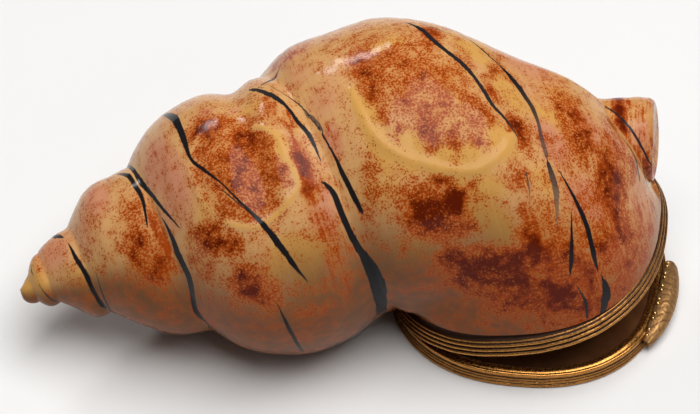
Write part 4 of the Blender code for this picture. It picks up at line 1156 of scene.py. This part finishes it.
def canal():
    """The siphonal canal's tube, slanting at its end, without what would lie deep inside the shell."""
    start, start_height, start_radius = CANAL_START
    full_end, end_height, end_radius = CANAL_END
    end = full_end + CANAL_EXTRA
    rings = canal_rings()
    angles = full_turn(CANAL_COLUMNS)
    low_front = ((1.0 + np.cos(angles - CANAL_LOW_FRONT)) / 2.0) ** 1.5
    rows = []
    buried = []
    for at, share, inset in rings:
        along = (at - start) / (full_end - start)
        radius = (start_radius + (end_radius - start_radius) * along) * share - inset
        radius = radius * (1.0 - CANAL_LOW_SHRINK * low_front * ramp(start + CANAL_BURIED, end - 2.0, at))
        radius = radius + 0.05 * np.sin(3.0 * angles + at) + 0.04 * np.sin(at * 2.2)
        y = CANAL_Y - radius * np.sin(angles)
        middle = AXIS_HEIGHT + start_height + (end_height - start_height) * along
        height = middle + radius * np.cos(angles) + CANAL_RAISED
        x = APEX_X + at + CANAL_SLANT * ramp(start, end - 4.0, at) * (y - CANAL_Y)
        x = x - CANAL_LOW_SETBACK * low_front * ramp(start + 4.0, end - 1.0, at)
        rows.append(seated(x, y, height))
        buried.append(depth_inside(x, y, height) > BURIED_DEPTH)
    rows = np.array(rows)
    buried = np.array(buried)
    buried = buried & np.roll(buried, -1, axis=1)
    shown = grid_faces(len(rows), CANAL_COLUMNS, keep=~(buried[:-1] & buried[1:]))
    last = len(rows) * CANAL_COLUMNS
    faces = [face[::-1] for face in shown] + end_fan(last, last - CANAL_COLUMNS, CANAL_COLUMNS)
    skin = np.vstack([rows.reshape(-1, 3), rows[-1].mean(0)])
    piece = add_piece("canal", on_shell(skin), faces, GLAZE, "shell", 50.0)

    at = np.repeat([ring[0] for ring in rings], CANAL_COLUMNS)
    arc = np.radians(np.tile(wrapped(np.degrees(angles)), len(rings))) * end_radius
    paint_canal(piece, at, arc)
    return piece


def paint_canal(piece, at, arc):
    """Give the canal's points their densities of colour; arc is the distance round from the top.

    The rust is a slanting band, a patch on the top behind it and a spot near the lip, over an even tint, and
    the underside is a plainer brown, darkened further by painted shade.
    """
    rust = np.maximum(hump(at - 0.16 * arc, 84.2, 1.1), 0.75 * hump(at, 79.6, 1.6) * hump(arc, 0.0, 5.0))
    rust = np.maximum(rust, 0.8 * hump(at, 88.6, 0.5) * hump(arc, 4.0, 1.6))
    rust = np.maximum(rust, LEAST_CANAL_RUST)
    below = ramp(-1.0, 1.0, arc - 1.3 * (at - 82.5))
    fields = {
        "rust": rust * (1.0 - below) + 0.6 * below,
        "blush": 1.2 * hump(at, 87.0, 1.2) * hump(arc, 4.0, 3.0) * (1.0 - below),
        "golden": np.maximum(hump(at, 89.2, 0.7), 0.9 * hump(at, 81.6, 1.2)),
        "brushed": np.full(len(at), 0.6),
        # Painted shade: darker round towards the canal's underside.
        "painted_shade": np.clip((arc - 7.0) / 9.0, 0.0, 0.6),
    }
    for layer, (widths, line) in zip(("a", "b"), CANAL_STROKES):
        side, width = nearest_flat_line(at, arc, widths, line)
        fields.update(stroke_fields(layer, side, width, np.full(len(at), 0.85)))
    for name, values in fields.items():
        keep_values(piece, **{name: np.append(values, values[-1])})
    flow = np.stack([at, arc, np.zeros(len(at))], -1) * MM
    keep_values(piece, flow=np.vstack([flow, flow[-1]]))


LINING_ROWS = 128
LINING_COLUMNS = 120
LINING_SPAN = (22.0, 84.2)
LINING_INSET = 2.4              # from the rims' outline to the lining's own opening
LINING_LIFT = 1.4               # above the porcelain's flat lower face, where that lies outside the rim
LINING_TUCK = 0.4               # how far the lining goes down behind the sleeve


def lining():
    """White glazed inside of the shell, open at the mouth and tucked in behind the rim's sleeve."""
    s, a = np.meshgrid(np.linspace(*LINING_SPAN, LINING_ROWS), full_turn(LINING_COLUMNS), indexing="ij")
    closing = np.clip((51.0 - s) / (51.0 - LINING_SPAN[0]), 0.0, 1.0) ** 8
    radius = np.maximum(cavity_radius(s, a), 1.0) * (1.0 - 0.6 * closing)
    drop = section_centre(s)[1]
    above_floor = AXIS_HEIGHT + drop - SHELL_EDGE - LINING_LIFT
    to_floor = np.maximum(above_floor / np.maximum(-np.cos(a), 0.02), 0.3)
    to_floor = np.where(np.cos(a) < -0.02, to_floor, 100.0)
    radius = np.minimum(radius, to_floor)
    layout = shell_point(s, a, radius)
    low = (radius > to_floor - 0.01) | (layout[..., 2] < SLEEVE_TOP - LINING_TUCK)
    low = low & inside_outline(layout[..., :2], -LINING_INSET)
    low = low & np.roll(low, -1, axis=1)
    faces = grid_faces(*s.shape, keep=~(low[:-1] & low[1:])) + both_ends(*s.shape)

    behind_sleeve = reach_of(oval(-SHELL_EDGE_INSET - WALL - 0.5, 360), layout)
    share = 1.0 - ramp(SLEEVE_TOP, SLEEVE_TOP + 2.0, layout[..., 2])
    push = share * np.maximum(behind_sleeve / np.maximum(distance_out(layout), 0.1) - 1.0, 0.0)
    layout = drawn_out(layout, 1.0 + push)
    foot = layout[-1].mean(0)
    foot[2] = SLEEVE_TOP - LINING_TUCK
    skin = np.vstack([layout.reshape(-1, 3), layout[0].mean(0), foot])
    return add_piece("shell_lining", on_shell(skin), faces, LINING, "shell", 60.0)


# ---------------------------------------------------------------- brass rims
RING_POINTS = 300


def reed(outset, low, high, depth, points=9):
    """Half-round bead on a rim's outer face, as (outset, height, patina and painted shade) points."""
    profile = []
    for u in np.linspace(-1.0, 1.0, points):
        rise = math.sqrt(1.0 - u * u)
        # The crest is left bright as a painted highlight, the flanks are darkened as painted shade.
        profile.append((outset - depth * (1.0 - rise), (low + high) / 2.0 + u * (high - low) / 2.0,
                        1.0 - 0.95 * rise ** 2.2))
    return profile


def rim(name, profile, body, node, place):
    """A swept brass ring that replaces its CAD node, with its patina and painted light and shade kept point
    by point.
    """
    rows = swept_ring([(outset, height) for outset, height, _ in profile], RING_POINTS)
    run = full_turn(RING_POINTS)
    wobble = 0.02 * np.sin(13.0 * run) + 0.015 * np.sin(31.0 * run + 1.0)
    rows[..., 2] = rows[..., 2] + wobble[None, :] * (rows[..., 2] > 0.3)
    faces = ring_faces(len(profile), RING_POINTS)
    piece = add_piece(name, place(rows), faces, BRASS, body, 55.0)
    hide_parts(node)
    keep_values(piece, patina=np.repeat([point[2] for point in profile], RING_POINTS))
    return piece


def upper_rim():
    """Three reeds and a beaded top edge, a recess under the porcelain darkened as painted shade, and the
    inner sleeve.
    """
    low = BASE_TOP + 0.15
    pitch = (REEDS_TOP - low) / 3.0
    profile = [(-1.6, low, 0.6)]
    for k, outset in enumerate((0.72, 0.52, 0.32)):
        profile += [(outset - 0.42, low + k * pitch + 0.02, 1.0)]
        profile += reed(outset, low + k * pitch + 0.07, low + (k + 1) * pitch - 0.07, 0.34)
    profile += [(-0.1, REEDS_TOP, 1.0)]
    profile += reed(0.02, REEDS_TOP + 0.02, REEDS_TOP + 0.34, 0.22, 7)
    # The recess under the porcelain is darkened as painted shade.
    profile += [(-0.45, REEDS_TOP + 0.40, 1.0), (-0.75, REEDS_TOP + 0.9, 1.0), (-0.85, REEDS_TOP + 1.75, 1.0)]
    inner = -SHELL_EDGE_INSET - WALL - 0.3
    profile += [(-1.1, REEDS_TOP + 1.75, 1.0), (inner, REEDS_TOP + 0.6, 0.8), (inner, SLEEVE_TOP, 0.4)]
    profile += [(inner - 0.3, SLEEVE_TOP + 0.1, 0.1), (inner - 0.6, SLEEVE_TOP, 0.2)]
    profile += [(inner - 0.6, low + 0.8, 0.7), (-1.9, low, 0.4)]
    return rim("upper_rim", profile, "shell", "shell_bezel", on_shell)


def lower_rim():
    """Foot reed, two fine reeds and a smooth band, with an inner ledge round the plate brightened as a
    painted highlight.
    """
    top = BASE_TOP - 0.15
    profile = [(-2.1, 0.0, 0.8), (-0.1, 0.0, 0.8)]
    profile += reed(0.22, 0.02, 0.58, 0.3)
    profile += [(-0.08, 0.62, 1.0)]
    profile += reed(0.16, 0.66, 1.08, 0.22, 7)
    profile += [(-0.06, 1.12, 1.0)]
    profile += reed(0.1, 1.16, 1.52, 0.18, 7)
    profile += [(-0.1, 1.57, 1.0), (0.0, 1.66, 0.5), (0.02, 1.95, 0.35), (0.0, top - 0.12, 0.25)]
    profile += [(-0.12, top, 0.1), (-0.38, top, 0.4), (-0.46, top - 0.12, 0.9), (-0.56, top - 0.06, 0.0)]
    # The inner ledge is brightened as a painted highlight.
    profile += [(-0.8, top + 0.06, -0.3), (-1.1, top + 0.08, -0.3), (-1.4, top - 0.02, -0.3)]
    profile += [(-1.7, top - 0.24, -0.3), (-1.88, top - 0.5, 0.0), (-1.9, 1.62, 0.6)]
    profile += [(-1.1, 1.58, 1.0), (-1.1, 0.4, 1.0), (-2.1, 0.4, 1.0)]
    return rim("lower_rim", profile, "base", "base_bezel", on_base)


# ---------------------------------------------------------------- clasp
CLASP_COLUMNS = 240
CLASP_ROWS = 90
CLASP_RELIEF = 0.075
CLASP_ENDS = (0.5, 1.2, 0.3)    # outset, height and thickness that the clasp draws in to at its two ends
CLASP_DRAWN_HEIGHT = 6.0        # of the chasing, before it is laid on the clasp's face
CLASP_RIBS = 19.0
# Curls of the chasing: distance along, distance up, size and hand of each.
CLASP_CURLS = (
    (-5.0, 2.6, 1.3, 1), (-2.2, 3.6, 1.4, -1), (1.0, 2.8, 1.4, 1), (3.9, 3.4, 1.4, -1),
    (-0.6, 1.2, 1.0, 1), (2.6, 1.0, 1.0, -1), (-3.7, 1.0, 1.0, 1), (6.0, 2.2, 1.0, 1),
)


def clasp_frame(u, v):
    """Back point, outward direction and thickness of the clasp; u runs along it, v from foot to lip."""
    at = v * (len(CLASP_BACK) - 1)
    knots = np.arange(len(CLASP_BACK))
    outset = curve_through(knots, [p[0] for p in CLASP_BACK], at)
    height = curve_through(knots, [p[1] for p in CLASP_BACK], at)
    thick = curve_through(knots, CLASP_THICKNESS, at)
    turn = curve_through(knots, CLASP_TURN, at)
    taper = np.sqrt(np.maximum(0.0, 1.0 - 0.9 * u * u))
    dense, normals = outline_frames(1440)
    direction = np.arctan2(dense[:, 1], dense[:, 0])
    centre = int(np.abs(direction - CLASP_CENTRE).argmin())
    step = float(np.linalg.norm(dense[1] - dense[0]))
    run = centre + u * CLASP_HALF_LENGTH / step
    whole = np.floor(run).astype(int)
    part = (run - whole)[..., None]
    near = dense[whole % len(dense)] * (1.0 - part) + dense[(whole + 1) % len(dense)] * part
    normal = normals[whole % len(dense)] * (1.0 - part) + normals[(whole + 1) % len(dense)] * part
    lean, z, depth = [end + (value - end) * taper for end, value in zip(CLASP_ENDS, (outset, height, thick))]
    turn = np.radians(turn) * taper
    back = np.concatenate([near + normal * lean[..., None], z[..., None]], -1)
    out = np.concatenate([normal * np.cos(turn)[..., None], np.sin(turn)[..., None]], -1)
    return back, out, depth


def clasp_ornament(u, v):
    """Chased leaf scrolls: ribs that fan out from the foot, and curls that wind between them."""
    x = u * CLASP_HALF_LENGTH
    y = v * CLASP_DRAWN_HEIGHT
    bearing = np.arctan2(x, y + 2.4)
    ribs = np.abs(np.sin(CLASP_RIBS * bearing + 0.5 * np.sin(1.7 * y)))
    curls = np.zeros_like(u)
    for cx, cy, size, hand in CLASP_CURLS:
        reach = np.hypot(x - cx, y - cy)
        bearing = np.arctan2(y - cy, x - cx) * hand
        curls = np.maximum(curls, np.exp(-(reach / size) ** 4) * (0.5 + 0.5 * np.cos(bearing + reach * 9.0)))
    return 0.55 * ribs ** 0.6 + 0.6 * curls


def thumb_clasp():
    """The clasp's chased plate, with a plain back that follows the lower rim."""
    up = np.linspace(0.0, 1.0, CLASP_ROWS)
    v, u = np.meshgrid(up, np.linspace(-1.0, 1.0, CLASP_COLUMNS), indexing="ij")
    back, out, thick = clasp_frame(u, v)
    ornament = clasp_ornament(u, v)
    border = np.clip(8.0 * np.minimum(np.minimum(v, 1.0 - v), 1.0 - np.abs(u)), 0.0, 1.0)
    outer = back + out * (thick + CLASP_RELIEF * ornament * border)[..., None]
    points = np.vstack([outer.reshape(-1, 3), back.reshape(-1, 3)])
    size = CLASP_ROWS * CLASP_COLUMNS
    faces = grid_faces(CLASP_ROWS, CLASP_COLUMNS, closed=False)
    faces = [face[::-1] for face in faces] + [tuple(size + i for i in face) for face in faces]
    edge = list(range(CLASP_COLUMNS))
    edge += [(i + 1) * CLASP_COLUMNS - 1 for i in range(1, CLASP_ROWS)]
    edge += [size - 1 - j for j in range(1, CLASP_COLUMNS)]
    edge += [(CLASP_ROWS - 1 - i) * CLASP_COLUMNS for i in range(1, CLASP_ROWS - 1)]
    for a, b in zip(edge, edge[1:] + edge[:1]):
        faces.append((a, size + a, size + b, b))
    piece = add_piece("thumb_clasp", on_base(points), faces, CHASED, "base", 60.0)
    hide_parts("clasp")
    patina = np.clip(0.75 - 0.75 * ornament, 0.0, 1.0)
    keep_values(piece, patina=np.concatenate([patina.reshape(-1), np.ones(size)]))
    return piece


def bead(name, place, axes):
    """A soft-cornered bright nub about a point, with its radii along the three axes."""
    tilt, turn = np.meshgrid(np.pi * np.arange(1, 14) / 14.0, full_turn(20), indexing="ij")
    ray = np.stack([np.sin(tilt) * np.cos(turn), np.sin(tilt) * np.sin(turn), np.cos(tilt)], -1)
    ray = np.sign(ray) * np.abs(ray) ** 0.8
    half = np.array([radius * axis for radius, axis in zip(BEAD_RADII, axes)])
    points, faces = closed_tube(place + ray @ half, place + half[2], place - half[2])
    piece = add_piece(name, on_base(points), faces, BRIGHT, "base", 60.0)
    keep_values(piece, patina=np.zeros(len(points)))
    return piece


BEAD_PAIRS = 6
BEAD_HEIGHT = 0.87              # as a share of the way from the clasp's foot to its lip
BEAD_RADII = (0.3, 0.34, 0.26)
BEAD_START = -0.86              # of the first pair, as a share of the clasp's half-length
BEAD_RUN = 1.66
BEAD_HALF_GAP = 0.055


def clasp_beads():
    """Pairs of bright nubs along the clasp's lip."""
    for pair in range(BEAD_PAIRS):
        for half in (-1, 1):
            u = np.array([BEAD_START + BEAD_RUN * pair / (BEAD_PAIRS - 1) + half * BEAD_HALF_GAP])
            back, out, thick = clasp_frame(u, np.array([BEAD_HEIGHT]))
            place = back[0] + out[0] * (thick[0] + 0.02)
            along = np.array([-out[0][1], out[0][0], 0.0])
            along /= np.linalg.norm(along)
            across = np.cross(out[0], along)
            name = "clasp_bead_%d_%s" % (pair + 1, "left" if half < 0 else "right")
            bead(name, place, (along, across, out[0]))


# ---------------------------------------------------------------- hinge and plate
BARREL_COLUMNS = 48
LEAST_PATINA = 0.2


def barrel(name, start, length, rings, bore, node, body, place):
    """Turned hinge knuckle or pin: rings are (share along, radius); a bore goes right through."""
    towards = np.array([HINGE_TOWARDS_OPENING[0], HINGE_TOWARDS_OPENING[1], 0.0])
    up = np.array([0.0, 0.0, 1.0])
    turn = full_turn(BARREL_COLUMNS)
    profile = list(rings)
    if bore:
        profile += [(rings[-1][0], bore), (rings[0][0], bore)]
    rows = []
    for share, radius in profile:
        at = HINGE_PLACE + HINGE_ALONG * (start + share * length)
        rows.append(at + radius * (np.cos(turn)[:, None] * towards + np.sin(turn)[:, None] * up))
    patina = [LEAST_PATINA + 0.7 * (share in (0.0, 1.0)) for share, _ in profile]
    patina = np.repeat(patina, BARREL_COLUMNS)
    if bore:
        skin = np.array(rows)
        faces = ring_faces(len(rows), BARREL_COLUMNS)
    else:
        ends = [HINGE_PLACE + HINGE_ALONG * at for at in (start, start + length)]
        skin, faces = closed_tube(np.array(rows), *ends)
        faces = [face[::-1] for face in faces]
        patina = np.append(patina, [LEAST_PATINA, LEAST_PATINA])
    piece = add_piece(name, place(skin), faces, BRASS, body, 40.0)
    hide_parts(node)
    keep_values(piece, patina=patina)
    return piece


def hinge():
    """Three knuckles with turned grooves near their ends, on a pin with domed ends."""
    r = KNUCKLE_RADIUS
    turned = [(0.0, r - 0.1), (0.04, r), (0.16, r), (0.19, r - 0.07), (0.22, r), (0.78, r), (0.81, r - 0.07),
              (0.84, r), (0.96, r), (1.0, r - 0.1)]
    bore = PIN_RADIUS + 0.08
    knuckles = (("back", -1.5 * KNUCKLE_LENGTH - KNUCKLE_GAP, "base", on_base),
                ("middle", -0.5 * KNUCKLE_LENGTH, "shell", on_shell),
                ("front", 0.5 * KNUCKLE_LENGTH + KNUCKLE_GAP, "base", on_base))
    for name, start, body, place in knuckles:
        node = "hinge_knuckle_" + name
        barrel("knuckle_" + name, start, KNUCKLE_LENGTH, turned, bore, node, body, place)
    half = 1.5 * KNUCKLE_LENGTH + KNUCKLE_GAP + PIN_OVERHANG
    domed = [(0.0, 0.15), (0.012, 0.32), (0.03, PIN_RADIUS), (0.97, PIN_RADIUS), (0.988, 0.32), (1.0, 0.15)]
    barrel("pin", -half, 2.0 * half, domed, 0.0, "hinge_pin", "base", on_base)


# ---------------------------------------------------------------- studio
def aim(thing, target):
    """Turn a light or camera towards a point."""
    thing.rotation_euler = (Vector(target) - thing.location).to_track_quat("-Z", "Y").to_euler()


def softbox(name, place, target, size, power):
    """A white rectangular light of this size in metres and power in watts, aimed at the target."""
    light = bpy.data.lights.new(name, "AREA")
    light.shape = "RECTANGLE"
    light.size, light.size_y = size
    light.energy = power
    made = add_object(name, light)
    made.location = place
    aim(made, target)


FLOOR_REACH = 2.5
FLOOR_DROP = 0.00005            # below the object, so that the two faces don't meet
FLOOR_TONES = ((0.68, 0.67, 0.66), (0.71, 0.70, 0.69))
SURROUND = 0.07
# Each light: name, place and size in metres, and power in watts.
SOFTBOXES = (
    ("key", (0.12, -0.12, 0.85), (0.9, 0.7), 11.5),
    ("rear_strip", (-0.16, 0.6, 0.42), (0.26, 0.08), 1.1),
    ("front_fill", (0.3, -0.6, 0.42), (0.4, 0.3), 0.2),
)


def studio():
    """Pale floor, a large soft light overhead, a narrow one behind, a weak fill and a dim surround."""
    floor_graph = Graph("pale_floor")
    tone = floor_graph.noise(floor_graph.place(), 0.01, 2.0)
    floor_graph.set(Base_Color=floor_graph.mix(tone, *FLOOR_TONES), Roughness=0.9)
    mesh = bpy.data.meshes.new("floor")
    reach = FLOOR_REACH
    mesh.from_pydata([(-reach, -reach, 0), (reach, -reach, 0), (reach, reach, 0), (-reach, reach, 0)], [],
                     [(0, 1, 2, 3)])
    mesh.materials.append(floor_graph.material)
    floor = add_object("floor", mesh)
    floor.location.z = CAD_BOX[0].z - FLOOR_DROP

    middle = (CAD_BOX[0] + CAD_BOX[1]) / 2.0
    for name, place, size, power in SOFTBOXES:
        softbox(name, place, middle, size, power)
    world = bpy.data.worlds.new("surround")
    world.use_nodes = True
    background = world.node_tree.nodes["Background"]
    background.inputs["Color"].default_value = (1.0, 1.0, 1.0, 1.0)
    background.inputs["Strength"].default_value = SURROUND
    bpy.context.scene.world = world
    bpy.context.scene.view_settings.view_transform = "Standard"


CAMERA_TURN = math.radians(-13.82)
CAMERA_RISE = math.radians(45.0)
CAMERA_DISTANCE = 0.4286
CAMERA_TARGET = (-21.3, 17.6, 0.75)      # in the closed layout
CAMERA_LENS = 154.3
CAMERA_SENSOR = 36.0


def camera():
    """The camera, from the front, a little to the left and 45 degrees above."""
    view = bpy.data.cameras.new("camera")
    view.sensor_width = CAMERA_SENSOR
    view.lens = CAMERA_LENS
    view.clip_start = 0.01
    made = add_object("camera", view)
    target = Vector(on_base(CAMERA_TARGET))
    level = math.cos(CAMERA_RISE)
    offset = Vector((math.sin(CAMERA_TURN) * level, -math.cos(CAMERA_TURN) * level, math.sin(CAMERA_RISE)))
    made.location = target + offset * CAMERA_DISTANCE
    aim(made, target)
    bpy.context.scene.camera = made


# ---------------------------------------------------------------- making it
GLAZE = painted_glaze()
LINING = plain_glaze("white_glaze", (0.88, 0.80, 0.69), (0.82, 0.72, 0.59))
# The base plate is glazed dark brown as painted shade, for the shadowed gap under the shell where it is seen.
PLATE_SHADE_GLAZE = plain_glaze("plate_painted_shade", (0.13, 0.05, 0.018), (0.08, 0.028, 0.01))
BRASS = gilt_brass("antique_gilt", (0.50, 0.225, 0.055), (0.03, 0.010, 0.003), 0.22)
CHASED = gilt_brass("chased_gilt", (0.42, 0.23, 0.09), (0.16, 0.07, 0.022), 0.5)
BRIGHT = gilt_brass("bright_gilt", (0.80, 0.48, 0.17), (0.35, 0.18, 0.05), 0.2)

camera()
studio()
porcelain()
canal()
lining()
upper_rim()
lower_rim()
thumb_clasp()
clasp_beads()
hinge()
# The base plate gets the dark brown painted-shade glaze.
plate = frame["nodes"]["base_plate"]
plate.data.materials.clear()
plate.data.materials.append(PLATE_SHADE_GLAZE)
